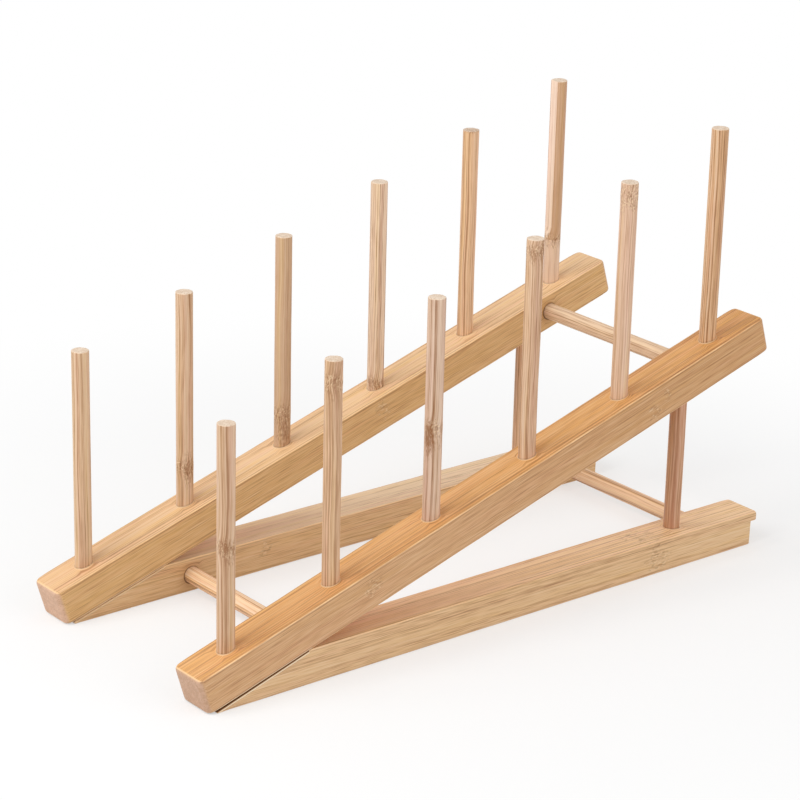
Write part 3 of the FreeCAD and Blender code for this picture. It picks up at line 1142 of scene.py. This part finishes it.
# %% Pegs, posts and cross dowels
PEG_LOOKS = {
    "left_peg_2": {"nodes": [(0.18, 4)], "patches": [(0.17, 35, 9, 45, 0.62)]},
    "left_peg_3": {"nodes": [(0.16, 5)], "patches": [(0.08, 20, 14, 90, 0.5), (0.13, -50, 7, 30, 0.4)]},
    "left_peg_4": {"nodes": [(0.03, 4)], "patches": [(0.02, 0, 5, 70, 0.5)]},
    "left_peg_5": {"patches": [(1.0, 0, 1, 400, 0.45)], "facets": [(52, 0.3, 0.03)]},
    "left_peg_6": {
        "nodes": [(0.21, 4)],
        "patches": [(0.22, 0, 4, 90, 0.35)],
        "facets": [(-56, 1.0, 0.22)],
        "two_tone": True,
    },
    "right_peg_1": {"nodes": [(0.46, 4)], "patches": [(0.47, 10, 4, 80, 0.6), (0.42, 30, 5, 60, 0.4)]},
    "right_peg_2": {"nodes": [(0.9, 4)], "patches": [(0.91, 25, 10, 60, 0.36), (0.85, -20, 6, 50, 0.3)]},
    "right_peg_3": {"nodes": [(0.42, 4)], "patches": [(0.38, -30, 8, 42, 1.0), (0.36, 45, 5, 30, 0.4)]},
    "right_peg_4": {"nodes": [(0.95, 4)], "patches": [(0.93, 0, 6, 80, 0.4)]},
    "right_peg_5": {"nodes": [(0.94, 8)], "patches": [(0.94, 0, 8, 90, 0.12)]},
}
PEG_SEEDS = {"right": 100, "left": 120}
POST_SEEDS = {"right": 150, "left": 151}
DOWEL_SEED = 160


def peg_stick(node, seed):
    """A peg with its own nodes, patches and facets, placed as shares of the length above the rail."""
    low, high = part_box(node)
    hidden = -above_sloped_rail(np.array([*centre_of(node).xy, low.z]))
    shown = high.z - low.z - hidden
    look = PEG_LOOKS.get(node, {})
    nodes = [(hidden + share * shown, far) for share, far in look.get("nodes", [])]
    patches = [
        (hidden + share * shown, turn, length * MM, width, strength)
        for share, turn, length, width, strength in look.get("patches", [])
    ]
    facets = [(turn, depth * MM, hidden + share * shown) for turn, depth, share in look.get("facets", [])]
    two_tone = look.get("two_tone", False)
    return stick(node, Z_AXIS, seed, above_sloped_rail, nodes, patches, facets, two_tone)


sticks = {}
for side in SIDES:
    for number in range(1, PEGS + 1):
        node = f"{side}_peg_{number}"
        sticks[node] = peg_stick(node, PEG_SEEDS[side] + number)
    post = f"{side}_rear_post"
    sticks[post] = stick(post, Z_AXIS, POST_SEEDS[side], between_base_and_slope)
for order, node in enumerate((*LOW_DOWELS, HIGH_DOWEL)):
    sticks[node] = stick(node, Y_AXIS, DOWEL_SEED + order, between_rails)
print(len(sticks), "sticks of", len(sticks["right_peg_1"].data.polygons), "faces or so")

# %% [markdown]
# ## Bamboo
# Colours are written as on a paint chart and turned into the linear values that shaders use. A finish needs
# three of them: its body colour, a darker one drawn towards brown and a paler one drawn towards cream.

# %% Colours
CHART_WHITE = 255
BROWN = np.array([132, 82, 44])
CREAM = np.array([255, 238, 214])
PALE_SHARE = 0.65


def paint(red, green, blue):
    """A colour written as on a paint chart, 0 to 255, as the linear values that shaders use."""
    chart = Color((red / CHART_WHITE, green / CHART_WHITE, blue / CHART_WHITE))
    return (*chart.from_srgb_to_scene_linear(), 1.0)


def shades(body, depth):
    """Dark, body and pale colours of a finish: the body, drawn so deep towards brown, less towards cream."""
    body = np.array(body)
    targets = ((BROWN, depth), (body, 0.0), (CREAM, PALE_SHARE * depth))
    return [paint(*(body + share * (target - body))) for target, share in targets]


print("brown in linear values:", [round(part, 3) for part in paint(*BROWN)])

# %% [markdown]
# Bamboo is grass: long straight fibres and no rings. Layers of noise, each drawn out along the grain, give it
# broad bands, streaks, fine lines and short fibres. Their weighted sum is a tone from dark to pale, and a
# colour ramp turns the tone into a finish. Noise grows on a lattice, and a lattice that lies square to the
# grain would show as bands across it, so each layer is turned a little after it has been stretched.

# %% Noise and ramps
LATTICE_TURN = (0.5, 0.35, 0.2)
PLAIN, FINE = 1.0, 2.0
LAYERS = {
    "bands": (6.0 * MM, 260 * MM, FINE),
    "streaks": (1.3 * MM, 240 * MM, PLAIN),
    "lines": (0.5 * MM, 180 * MM, PLAIN),
    "fibres": (0.36 * MM, 12 * MM, PLAIN),
    "warmth": (2.4 * MM, 120 * MM, FINE),
    "blotches": (4.0 * MM, 90 * MM, FINE),
    "threads": (0.55 * MM, 180 * MM, PLAIN),
}
TONE_PLACES = (0.22, 0.5, 0.78)


def attribute(tree, label, output="Fac"):
    """A value that was kept on the points."""
    return add_node(tree, "ShaderNodeAttribute", {}, attribute_name=label).outputs[output]


def step_over(tree, label, *step):
    """A soft step over a value that was kept on the points."""
    return smooth_range(tree, attribute(tree, label), *step)


def grain_noise(tree, grain, wide, long, detail=FINE):
    """Noise whose patches are so wide across the grain and so long with it, as a value about the middle."""
    stretch = (1 / wide, 1 / wide, 1 / long)
    place = add_node(tree, "ShaderNodeMapping", {"Vector": grain, "Scale": stretch, "Rotation": LATTICE_TURN})
    inputs = {"Vector": place.outputs[0], "Scale": 1.0, "Detail": detail}
    return add_node(tree, "ShaderNodeTexNoise", inputs).outputs[0]


def ramp(tree, value, colours, places=TONE_PLACES, steps="LINEAR"):
    """Colours at places along the value."""
    node = add_node(tree, "ShaderNodeValToRGB", {0: value})
    node.color_ramp.interpolation = steps
    elements = node.color_ramp.elements
    while len(elements) < len(colours):
        elements.new(1.0)
    for element, colour, place in zip(elements, colours, places):
        element.position = place
        element.color = colour
    return node.outputs[0]


def add_up(tree, layers, weights, start=MIDDLE):
    """The sum of weight x (layer - middle) over the layers, on top of a start."""
    total = start
    for label, weight in weights.items():
        centred = calculate(tree, "SUBTRACT", layers[label], MIDDLE)
        total = calculate(tree, "MULTIPLY_ADD", centred, weight, total)
    return total


def bamboo_base(name):
    """A new material with its tree, the grain and the layers of noise."""
    material = bpy.data.materials.new(name)
    tree = empty_tree(material)
    grain = attribute(tree, "grain", "Vector")
    layers = {label: grain_noise(tree, grain, *size) for label, size in LAYERS.items()}
    return material, tree, grain, layers


print("layers of grain:", ", ".join(LAYERS))

# %% [markdown]
# ## Marks on the bamboo
# The rest of the look is where things are: nodes, seats, arrises, the seam of the wedge and the sawn ends.
# Each mark is a soft step over one of the values that were kept on the points, and noise breaks up those that
# shouldn't look ruled. A step is written as (from, to, value before, value after), and its result says how
# strongly a coat of another colour is laid on. A slow noise also tips the hue towards gold or rose, and here
# and there a bundle of fibres shows as a thin dark thread.

# %% Hue and threads
GOLD_TINT = (1.0, 0.985, 0.86, 1.0)
ROSE_TINT = (1.0, 0.95, 0.985, 1.0)
THREAD_TINT = (0.74, 0.64, 0.56, 1.0)
GOLD_STEP = (0.5, 0.7, 0.0, 1.0)
ROSE_STEP = (0.3, 0.5, 1.0, 0.0)
THREAD_EDGE = (0.6, 0.7)


def coat(tree, colour, second, *shares, blend="MIX"):
    """A colour with a second one laid over it, as strongly as the product of the shares."""
    strength, *others = shares
    for share in others:
        strength = calculate(tree, "MULTIPLY", strength, share)
    return mix_colour(tree, strength, colour, second, blend)


def tint(tree, colour, warmth, thread, strength):
    """Tips the hue towards gold or rose by the warmth, and draws the dark threads with a given strength."""
    colour = coat(tree, colour, GOLD_TINT, smooth_range(tree, warmth, *GOLD_STEP), blend="MULTIPLY")
    colour = coat(tree, colour, ROSE_TINT, smooth_range(tree, warmth, *ROSE_STEP), blend="MULTIPLY")
    share = smooth_range(tree, thread, *THREAD_EDGE, 0.0, strength)
    return coat(tree, colour, THREAD_TINT, share, blend="MULTIPLY")


print("threads begin where their noise is over", THREAD_EDGE[0])

# %% [markdown]
# A bamboo node is where a leaf once grew: the fibres cross there, and a planed face cuts them into short dark
# ticks and pale flecks. A stain is a patch of brown skin that the plane has left.

# %% Nodes and stains
MARK_AND_SHADE_BROWN = paint(140, 92, 54)
NODE_PALE = paint(250, 222, 182)
STAIN_BROWN = paint(150, 100, 60)
RAGGED_NOISE = (2.2 * MM, 5.0 * MM)
RAGGED = 2.6
STAIN_NOISE = (0.55 * MM, 1.8 * MM)
NODE_EDGE = (0.5, 1.0, 1.0, 0.0)
TICK_EDGE = (0.52, 0.62)
TICK_GROUND = 0.08
FLECK_EDGE = (0.53, 0.63)
STAIN_STEP = (0.12, 0.9, 0.0, 0.85)


def mark_nodes(tree, grain, colour, tick, fleck, dark, pale):
    """Bamboo nodes: short dark ticks and pale flecks of given sizes and strengths, within a ragged edge."""
    ragged = calculate(tree, "SUBTRACT", grain_noise(tree, grain, *RAGGED_NOISE), MIDDLE)
    distance = calculate(tree, "MULTIPLY_ADD", ragged, RAGGED, attribute(tree, "node_gap"))
    inside = smooth_range(tree, distance, *NODE_EDGE)
    ticks = smooth_range(tree, grain_noise(tree, grain, *tick), *TICK_EDGE, TICK_GROUND, dark)
    flecks = smooth_range(tree, grain_noise(tree, grain, *fleck), *FLECK_EDGE, 0.0, pale)
    colour = coat(tree, colour, MARK_AND_SHADE_BROWN, inside, ticks)
    return coat(tree, colour, NODE_PALE, inside, flecks)


def mark_stains(tree, grain, colour):
    """Brown patches with ragged edges: squared noise swells and shrinks the stain before a soft step."""
    rough = calculate(tree, "DIVIDE", grain_noise(tree, grain, *STAIN_NOISE), MIDDLE)
    ragged = calculate(tree, "MULTIPLY", attribute(tree, "stain"), calculate(tree, "MULTIPLY", rough, rough))
    return coat(tree, colour, STAIN_BROWN, smooth_range(tree, ragged, *STAIN_STEP))


print("ticks begin where their noise is over", TICK_EDGE[0])

# %% [markdown]
# Where a dowel sits in a rail, a pale fillet of glue shows round a glued one, a dark rim and a soft patch of
# painted shade round a dry one, and a faint line of painted shade where either enters the wood.

# %% Marks at the seats
GLUE_PALE = paint(250, 216, 172)
# The dark rim, the soft patch round a dry seat and the line at the dowel are painted shade.
CONTACT_SHADE = paint(110, 70, 38)
DRY_SEAT_SHADE = paint(150, 96, 52)
GLUE_STEP = (0.08, 0.4, 0.0, 0.75)
DRY_RIM_SHADE_STEP = (-0.5, -0.08, 0.75, 0.0)
DRY_SEAT_SHADE_STEP = (0.0, 5.0 * MM, 0.2, 0.0)
CONTACT_SHADE_STEP = (0.35 * MM, 0.7 * MM, 0.35, 0.0)
GLUED_FOOT = (0.3 * MM, 1.2 * MM, 0.25, 0.0)
DRY_FOOT = (0.3 * MM, 6.0 * MM, 0.25, 0.0)


def mark_seats(tree, colour, on_side):
    """A glued seat's pale fillet, a dry one's painted shade and dark rim, and a painted shade line at the
    dowel.
    """
    colour = coat(tree, colour, DRY_SEAT_SHADE, step_over(tree, "seat_gap", *DRY_SEAT_SHADE_STEP), on_side)
    colour = coat(tree, colour, GLUE_PALE, step_over(tree, "glue", *GLUE_STEP))
    colour = coat(tree, colour, CONTACT_SHADE, step_over(tree, "glue", *DRY_RIM_SHADE_STEP))
    return coat(tree, colour, CONTACT_SHADE, step_over(tree, "seat_gap", *CONTACT_SHADE_STEP))


def mark_foot(tree, colour, step):
    """A stick's own side of that line: a shade next to its seat, short when glued and longer when dry."""
    return coat(tree, colour, CONTACT_SHADE, step_over(tree, "seat_gap", *step))


print(f"a dry dowel is shaded over {DRY_FOOT[1] / MM:.1f} mm, a glued one over {GLUED_FOOT[1] / MM:.1f} mm")

# %% [markdown]
# The long arrises carry a painted highlight, stronger in some stretches than in others, and a thin line
# of painted shade beside it. The wedge joint has a brown seam of glue, and beside it a painted highlight.

# %% Marks at the edges
# Painted highlight for arrises and sawn ends; beside an arris runs a thin line of painted shade.
ARRIS_HIGHLIGHT = paint(254, 214, 162)
SEAM_BROWN = paint(118, 68, 24)
# Painted highlight beside the wedge seam.
SEAM_HIGHLIGHT = paint(255, 240, 212)
HIGHLIGHT_PATCH_NOISE = (9.0 * MM, 18.0 * MM)
HIGHLIGHT_PATCH_EDGE = (0.3, 0.65)
HIGHLIGHT_PATCH_LEAST = 0.33
ARRIS_STEP = (0.3 * MM, 0.6 * MM, 1.0, 0.0)
SHADE_LINE_RISE = (0.6 * MM, 0.85 * MM, 0.0, 1.0)
SHADE_LINE_FALL = (0.9 * MM, 1.4 * MM, 0.55, 0.0)
SEAM_EDGE = (0.1 * MM, 0.5 * MM)
SEAM_HIGHLIGHT_RISE = (0.3 * MM, 0.5 * MM, 0.0, 1.0)
SEAM_HIGHLIGHT_FALL = (0.7 * MM, 1.1 * MM)


def mark_arris_highlights(tree, grain, colour, strength):
    """Painted highlight on the arrises, patchy along them, and a thin line of painted shade beside it."""
    patchy = grain_noise(tree, grain, *HIGHLIGHT_PATCH_NOISE)
    arris_highlight = smooth_range(tree, patchy, *HIGHLIGHT_PATCH_EDGE, HIGHLIGHT_PATCH_LEAST * strength, strength)
    rise, fall = (step_over(tree, "arris_gap", *step) for step in (SHADE_LINE_RISE, SHADE_LINE_FALL))
    colour = coat(tree, colour, ARRIS_HIGHLIGHT, step_over(tree, "arris_gap", *ARRIS_STEP), arris_highlight)
    return coat(tree, colour, MARK_AND_SHADE_BROWN, rise, fall, arris_highlight)


def mark_seam(tree, colour, darkness, highlight_strength):
    """The wedge joint's edges are brown with glue, and beside them runs a painted highlight line."""
    rise = step_over(tree, "joint_gap", *SEAM_HIGHLIGHT_RISE)
    fall = step_over(tree, "joint_gap", *SEAM_HIGHLIGHT_FALL, highlight_strength, 0.0)
    colour = coat(tree, colour, SEAM_HIGHLIGHT, rise, fall)
    return coat(tree, colour, SEAM_BROWN, step_over(tree, "joint_gap", *SEAM_EDGE, darkness, 0.0))


print(f"arrises pale within {ARRIS_STEP[1] / MM:.1f} mm, seam brown within {SEAM_EDGE[1] / MM:.1f} mm")

# %% [markdown]
# Sawn ends cut the fibre bundles across, so they show dots instead of lines. The whole rack is rubbed with a
# thin oil: a soft gloss, rougher in the pale streaks, over a fine relief of fibres.

# %% Ends and oil
END_DOT = 0.9 * MM
DOT_STEP = (0.1, 0.5, 0.0, 1.0)
END_STEP = (0.25, 0.75, 0.0, 1.0)
END_CLOUD = (2.6 * MM, 9.0 * MM)
CLOUD_STEP = (0.35, 0.62, 0.0, 0.5)
FLATTEN = (1.0, 1.0, 0.0)
RELIEF = {"streaks": 0.6, "lines": 0.6, "fibres": 0.6}
RELIEF_STRENGTH = 0.35
RELIEF_HEIGHT = 0.1 * MM
GLOSS_STEP = (0.3, 0.7, 0.44, 0.6)
GLOSS_LEVEL = 0.35


def mark_ends(tree, grain, colour, ground, dots):
    """Sawn ends: a dull ground with the dots of the cut fibre bundles, the same all along the grain."""
    place = add_node(tree, "ShaderNodeVectorMath", {0: grain, 1: FLATTEN}, operation="MULTIPLY").outputs[0]
    spots = add_node(tree, "ShaderNodeTexVoronoi", {"Vector": place, "Scale": 1 / END_DOT})
    dotted = coat(tree, dots, ground, smooth_range(tree, spots.outputs["Distance"], *DOT_STEP))
    cloud = smooth_range(tree, grain_noise(tree, place, *END_CLOUD), *CLOUD_STEP)
    dotted = coat(tree, dotted, dots, cloud)
    return coat(tree, colour, dotted, step_over(tree, "end_share", *END_STEP))


def satin(tree, colour, layers):
    """The thin satin oil on the bamboo, which closes the material."""
    relief = {"Strength": RELIEF_STRENGTH, "Distance": RELIEF_HEIGHT, "Height": add_up(tree, layers, RELIEF)}
    bump = add_node(tree, "ShaderNodeBump", relief).outputs[0]
    roughness = smooth_range(tree, layers["streaks"], *GLOSS_STEP)
    inputs = {"Base Color": colour, "Roughness": roughness, "Normal": bump, "Specular IOR Level": GLOSS_LEVEL}
    shader = add_node(tree, "ShaderNodeBsdfPrincipled", inputs)
    add_node(tree, "ShaderNodeOutputMaterial", {"Surface": shader.outputs[0]})


print("roughness of the oil:", GLOSS_STEP[-2], "to", GLOSS_STEP[-1])

# %% [markdown]
# ## Rail finishes
# Along a rail the colour drifts, from a colour of its own in front to a redder top and olive sides behind. On
# the base rails that front colour is painted shade under the sloped rail. The top edge of a sawn end carries
# a painted highlight line, and thin glue lines run between the four strips of a rail.

# %% Colour along a rail
STRIP_LINE = (0.0, 0.014, 0.3, 0.0)
# The brow is a painted highlight line along the top of each sawn end.
END_HIGHLIGHT_RISE = (0.05, 0.4, 0.0, 0.75)
END_HIGHLIGHT_FALL = (0.5, 0.8, 1.0, 0.0)
OLIVE_TINT = (0.905, 0.845, 0.735, 1.0)
OLIVE_EDGE = (0.3, 1.0)
REDDISH = paint(176, 112, 70)
REDDISH_EDGE = (0.86, 1.0)


def colour_along_rail(tree, colour, on_top, on_side, front, red, olive):
    """A rail's colour along its length: a colour of its own in front, and behind red on top and olive at the
    sides.

    front is a body colour, its strength and the shares of the length between which it fades. On the base
    rails it is painted shade on the top under the sloped rail.
    """
    shade, strength, *fading = front
    in_front = step_over(tree, "length_share", *fading, strength, 0.0)
    redder = step_over(tree, "length_share", *REDDISH_EDGE, 0.0, red)
    greener = step_over(tree, "length_share", *OLIVE_EDGE, 0.0, olive)
    colour = coat(tree, colour, paint(*shade), in_front, on_top)
    colour = coat(tree, colour, REDDISH, redder, on_top)
    return coat(tree, colour, OLIVE_TINT, greener, on_side, blend="MULTIPLY")


def mark_end_highlight(tree, colour, on_top):
    """A painted highlight line along the top of a sawn end."""
    rise, fall = (step_over(tree, "end_share", *step) for step in (END_HIGHLIGHT_RISE, END_HIGHLIGHT_FALL))
    return coat(tree, colour, ARRIS_HIGHLIGHT, rise, fall, on_top)


def mark_strips(tree, colour, strip):
    """The thin glue lines between the strips of a rail."""
    inside = calculate(tree, "FRACT", strip)
    to_edge = calculate(tree, "MINIMUM", inside, calculate(tree, "SUBTRACT", 1.0, inside))
    return coat(tree, colour, MARK_AND_SHADE_BROWN, smooth_range(tree, to_edge, *STRIP_LINE))


print("the sides turn olive from", OLIVE_EDGE[0], "of the length, the tops red from", REDDISH_EDGE[0])

# %% [markdown]
# Rails are laminated from four strips, each of its own tone on top. They show different sides of their strips
# on top and at the sides: long lines on top, and a smoother face with soft patches of hue at the sides. So a
# rail's finish has two ramps, switched sharply at the arris.

# %% Rail finish
TOP_WEIGHTS = {"bands": 0.25, "streaks": 0.45, "lines": 0.95, "fibres": 0.6}
SIDE_WEIGHTS = {"bands": 0.25, "streaks": 0.2, "lines": 0.5, "fibres": 0.7}
TOP_DEPTH = 0.48
SIDE_DEPTH = 0.52
END_DEPTH = 0.25
BLOTCH_SHARE = 0.6
RAIL_THREADS = 0.35
RAIL_NODE = {"tick": (0.8 * MM, 3.2 * MM), "fleck": (0.9 * MM, 2.0 * MM), "dark": 0.45, "pale": 0.4}
STRIP_STARTS = tuple(np.arange(STRIPS) / STRIPS)
TOP_STEP = (0.35, 0.65, 0.0, 1.0)


def rail_bamboo(name, top, sides, ends, strips, seam, arris_highlight, front, red=0.0, olive=0.0):
    """Laminated bamboo: body colours of top, sides and ends, and the tones of the strips.

    seam is how dark the wedge joint is and how strong the painted highlight beside it; the number after it is
    the strength of the arrises' painted highlight. front, red and olive say how the colour changes along the
    rail, and on the base rails front is painted shade under the sloped rail.
    """
    material, tree, grain, layers = bamboo_base(name)
    strip = attribute(tree, "strip")
    tones = [(tone, tone, tone, 1.0) for tone in strips]
    strip_tone = ramp(tree, calculate(tree, "DIVIDE", strip, STRIPS), tones, STRIP_STARTS, "CONSTANT")
    on_top = step_over(tree, "top_share", *TOP_STEP)
    on_side = calculate(tree, "SUBTRACT", 1.0, on_top)
    top_colour = ramp(tree, add_up(tree, layers, TOP_WEIGHTS, strip_tone), shades(top, TOP_DEPTH))
    side_colour = ramp(tree, add_up(tree, layers, SIDE_WEIGHTS), shades(sides, SIDE_DEPTH))
    colour = mix_colour(tree, on_top, side_colour, top_colour)
    colour = colour_along_rail(tree, colour, on_top, on_side, front, red, olive)
    side_warmth = add_up(tree, layers, {"blotches": BLOTCH_SHARE})
    top_warmth = calculate(tree, "SUBTRACT", layers["warmth"], side_warmth)
    warmth = calculate(tree, "MULTIPLY_ADD", top_warmth, on_top, side_warmth)
    colour = tint(tree, colour, warmth, layers["threads"], RAIL_THREADS)
    colour = mark_nodes(tree, grain, colour, **RAIL_NODE)
    dots, ground, _ = shades(ends, END_DEPTH)
    colour = mark_ends(tree, grain, colour, ground, dots)
    colour = mark_strips(tree, colour, strip)
    colour = mark_arris_highlights(tree, grain, colour, arris_highlight)
    colour = mark_end_highlight(tree, colour, on_top)
    colour = mark_seam(tree, colour, *seam)
    colour = mark_seats(tree, colour, on_side)
    satin(tree, colour, layers)
    return material


print("weights on top:", TOP_WEIGHTS)
print("weights at the sides:", SIDE_WEIGHTS)

# %% [markdown]
# Every rail was glued up from other culms, so each has its own colours. On top the left rails are paler than
# the right ones, and the right sloped rail is a deep honey. The table gives the body colours on the paint
# chart, the tones of the strips from right to left, and how strongly each mark shows.

# %% Rail colours
# In each finish, the number after seam sets the strength of the painted highlight on the arrises.
RAIL_FINISHES = {
    "right_sloped_rail": {
        "top": (231, 171, 106),
        "sides": (215, 169, 123),
        "ends": (214, 175, 147),
        "strips": (0.42, 0.46, 0.45, 0.45),
        "seam": (0.95, 0.35),
        "arris_highlight": 0.9,
        "front": ((252, 206, 148), 0.12, 0.0, 0.15),
        "red": 0.04,
        "olive": 1.0,
    },
    "left_sloped_rail": {
        "top": (246, 202, 152),
        "sides": (227, 182, 124),
        "ends": (228, 188, 160),
        "strips": (0.49, 0.53, 0.57, 0.53),
        "seam": (0.3, 0.3),
        "arris_highlight": 0.9,
        "front": ((196, 138, 84), 0.22, 0.0, 0.42),
        "olive": 0.2,
    },
    "right_base_rail": {
        "top": (252, 211, 164),
        "sides": (229, 190, 144),
        "ends": (228, 190, 158),
        "strips": (0.55, 0.49, 0.5, 0.5),
        "seam": (0.95, 0.8),
        "arris_highlight": 0.5,
        # painted shade on the top, under the sloped rail
        "front": ((170, 120, 76), 0.05, 0.35, 0.55),
    },
    "left_base_rail": {
        "top": (254, 224, 185),
        "sides": (227, 185, 135),
        "ends": (228, 190, 158),
        "strips": (0.5, 0.54, 0.52, 0.51),
        "seam": (0.3, 0.3),
        "arris_highlight": 0.7,
        # painted shade on the top, under the sloped rail
        "front": ((170, 120, 76), 0.18, 0.35, 0.55),
    },
}
for side in SIDES:
    for node, piece in ((f"{side}_sloped_rail", sloped_rails[side]), (f"{side}_base_rail", base_rails[side])):
        piece.data.materials.append(rail_bamboo(f"{node}_finish", **RAIL_FINISHES[node]))
print("rail finishes:", ", ".join(RAIL_FINISHES))

# %% [markdown]
# ## Stick finishes
# The sticks are cut from all over the culm, so each has a colour of its own, from honey and tan to rosy and
# peach. Their streaks are stronger than the rails', because a stick shows the fibre bundles from the side.
# The table gives each stick's body colour, the depth of its grain and the strength of its threads, and for
# the two-tone peg the colour of its tan side.

# %% Stick finish
STICK_WEIGHTS = {"bands": 0.4, "streaks": 0.8, "lines": 0.95, "fibres": 0.5}
STICK_END = (paint(235, 215, 193), paint(208, 178, 150))
# Painted highlight along the rim of a stick's end.
STICK_RIM_HIGHLIGHT = paint(252, 230, 204)
STICK_NODE = {"tick": (0.55 * MM, 2.6 * MM), "fleck": (0.7 * MM, 0.9 * MM), "dark": 0.65, "pale": 0.6}
RIM_HIGHLIGHT_STEP = (0.1, 0.5, 0.0, 0.7)
STICK_FINISHES = {
    "left_peg_1": ((224, 188, 151), 0.5, 0.3),
    "left_peg_2": ((219, 181, 145), 0.6, 0.5),
    "left_peg_3": ((208, 171, 136), 0.4, 0.3),
    "left_peg_4": ((240, 208, 178), 0.75, 0.9),
    "left_peg_5": ((237, 196, 156), 0.5, 0.4),
    "left_peg_6": ((250, 221, 197), 0.3, 0.1, (206, 164, 127)),
    "right_peg_1": ((212, 173, 138), 0.6, 0.5),
    "right_peg_2": ((229, 192, 157), 0.45, 0.2),
    "right_peg_3": ((217, 183, 157), 0.75, 0.7),
    "right_peg_4": ((221, 182, 149), 0.7, 0.8),
    "right_peg_5": ((231, 195, 166), 0.35, 0.15),
    "right_peg_6": ((220, 175, 131), 0.75, 0.9),
    "left_rear_post": ((229, 189, 153), 0.55, 0.6),
    "right_rear_post": ((200, 151, 117), 0.55, 0.6),
    "front_cross_dowel": ((246, 202, 158), 0.75, 0.9),
    "rear_lower_cross_dowel": ((235, 195, 158), 0.55, 0.6),
    "rear_upper_cross_dowel": ((236, 204, 170), 0.55, 0.4),
}


def stick_bamboo(name, dry, body, depth, threads, tan=None):
    """Planed bamboo stick: its body colour, the depth of its grain and the strength of its dark threads."""
    material, tree, grain, layers = bamboo_base(name)
    tone = add_up(tree, layers, STICK_WEIGHTS)
    colour = ramp(tree, tone, shades(body, depth))
    if tan:
        colour = coat(tree, colour, ramp(tree, tone, shades(tan, depth)), attribute(tree, "tan_side"))
    colour = tint(tree, colour, layers["warmth"], layers["threads"], threads)
    colour = mark_nodes(tree, grain, colour, **STICK_NODE)
    # A painted highlight along the rim of the stick's end.
    colour = coat(tree, colour, STICK_RIM_HIGHLIGHT, step_over(tree, "end_share", *RIM_HIGHLIGHT_STEP))
    colour = mark_ends(tree, grain, colour, *STICK_END)
    colour = mark_stains(tree, grain, colour)
    colour = mark_foot(tree, colour, DRY_FOOT if dry else GLUED_FOOT)
    satin(tree, colour, layers)
    return material


for node, look in STICK_FINISHES.items():
    dry = node in (*LOW_DOWELS, HIGH_DOWEL)
    sticks[node].data.materials.append(stick_bamboo(f"{node}_finish", dry, *look))
print("stick finishes:", len(STICK_FINISHES))

# %% [markdown]
# ## Screws
# The two countersunk screws under the wedge joints keep their drawn shape. Their bright zinc is a metal whose
# roughness and colour are clouded by noise, as plating is after it has been driven home.

# %% Zinc
ZINC = (paint(176, 178, 180), paint(206, 207, 205))
ZINC_CLOUD = (1.2 * MM, 1.2 * MM, 4.0)
ZINC_EDGE = (0.35, 0.65)
ZINC_GLOSS = (0.3, 0.7, 0.28, 0.45)
SCUFF_STRENGTH = 0.2
SCUFF_HEIGHT = 0.05 * MM

zinc = bpy.data.materials.new("zinc_screw_finish")
zinc_tree = empty_tree(zinc)
zinc_place = add_node(zinc_tree, "ShaderNodeTexCoord", {}).outputs["Object"]
cloud = grain_noise(zinc_tree, zinc_place, *ZINC_CLOUD)
zinc_colour = mix_colour(zinc_tree, smooth_range(zinc_tree, cloud, *ZINC_EDGE), *ZINC)
zinc_rough = smooth_range(zinc_tree, cloud, *ZINC_GLOSS)
scuffing = {"Strength": SCUFF_STRENGTH, "Distance": SCUFF_HEIGHT, "Height": cloud}
scuffs = add_node(zinc_tree, "ShaderNodeBump", scuffing).outputs[0]
plating = {"Base Color": zinc_colour, "Metallic": 1.0, "Roughness": zinc_rough, "Normal": scuffs}
zinc_shader = add_node(zinc_tree, "ShaderNodeBsdfPrincipled", plating)
add_node(zinc_tree, "ShaderNodeOutputMaterial", {"Surface": zinc_shader.outputs[0]})
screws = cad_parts["wedge_screws"]
screws.data.materials.clear()
screws.data.materials.append(zinc)
print("screws in", zinc.name)
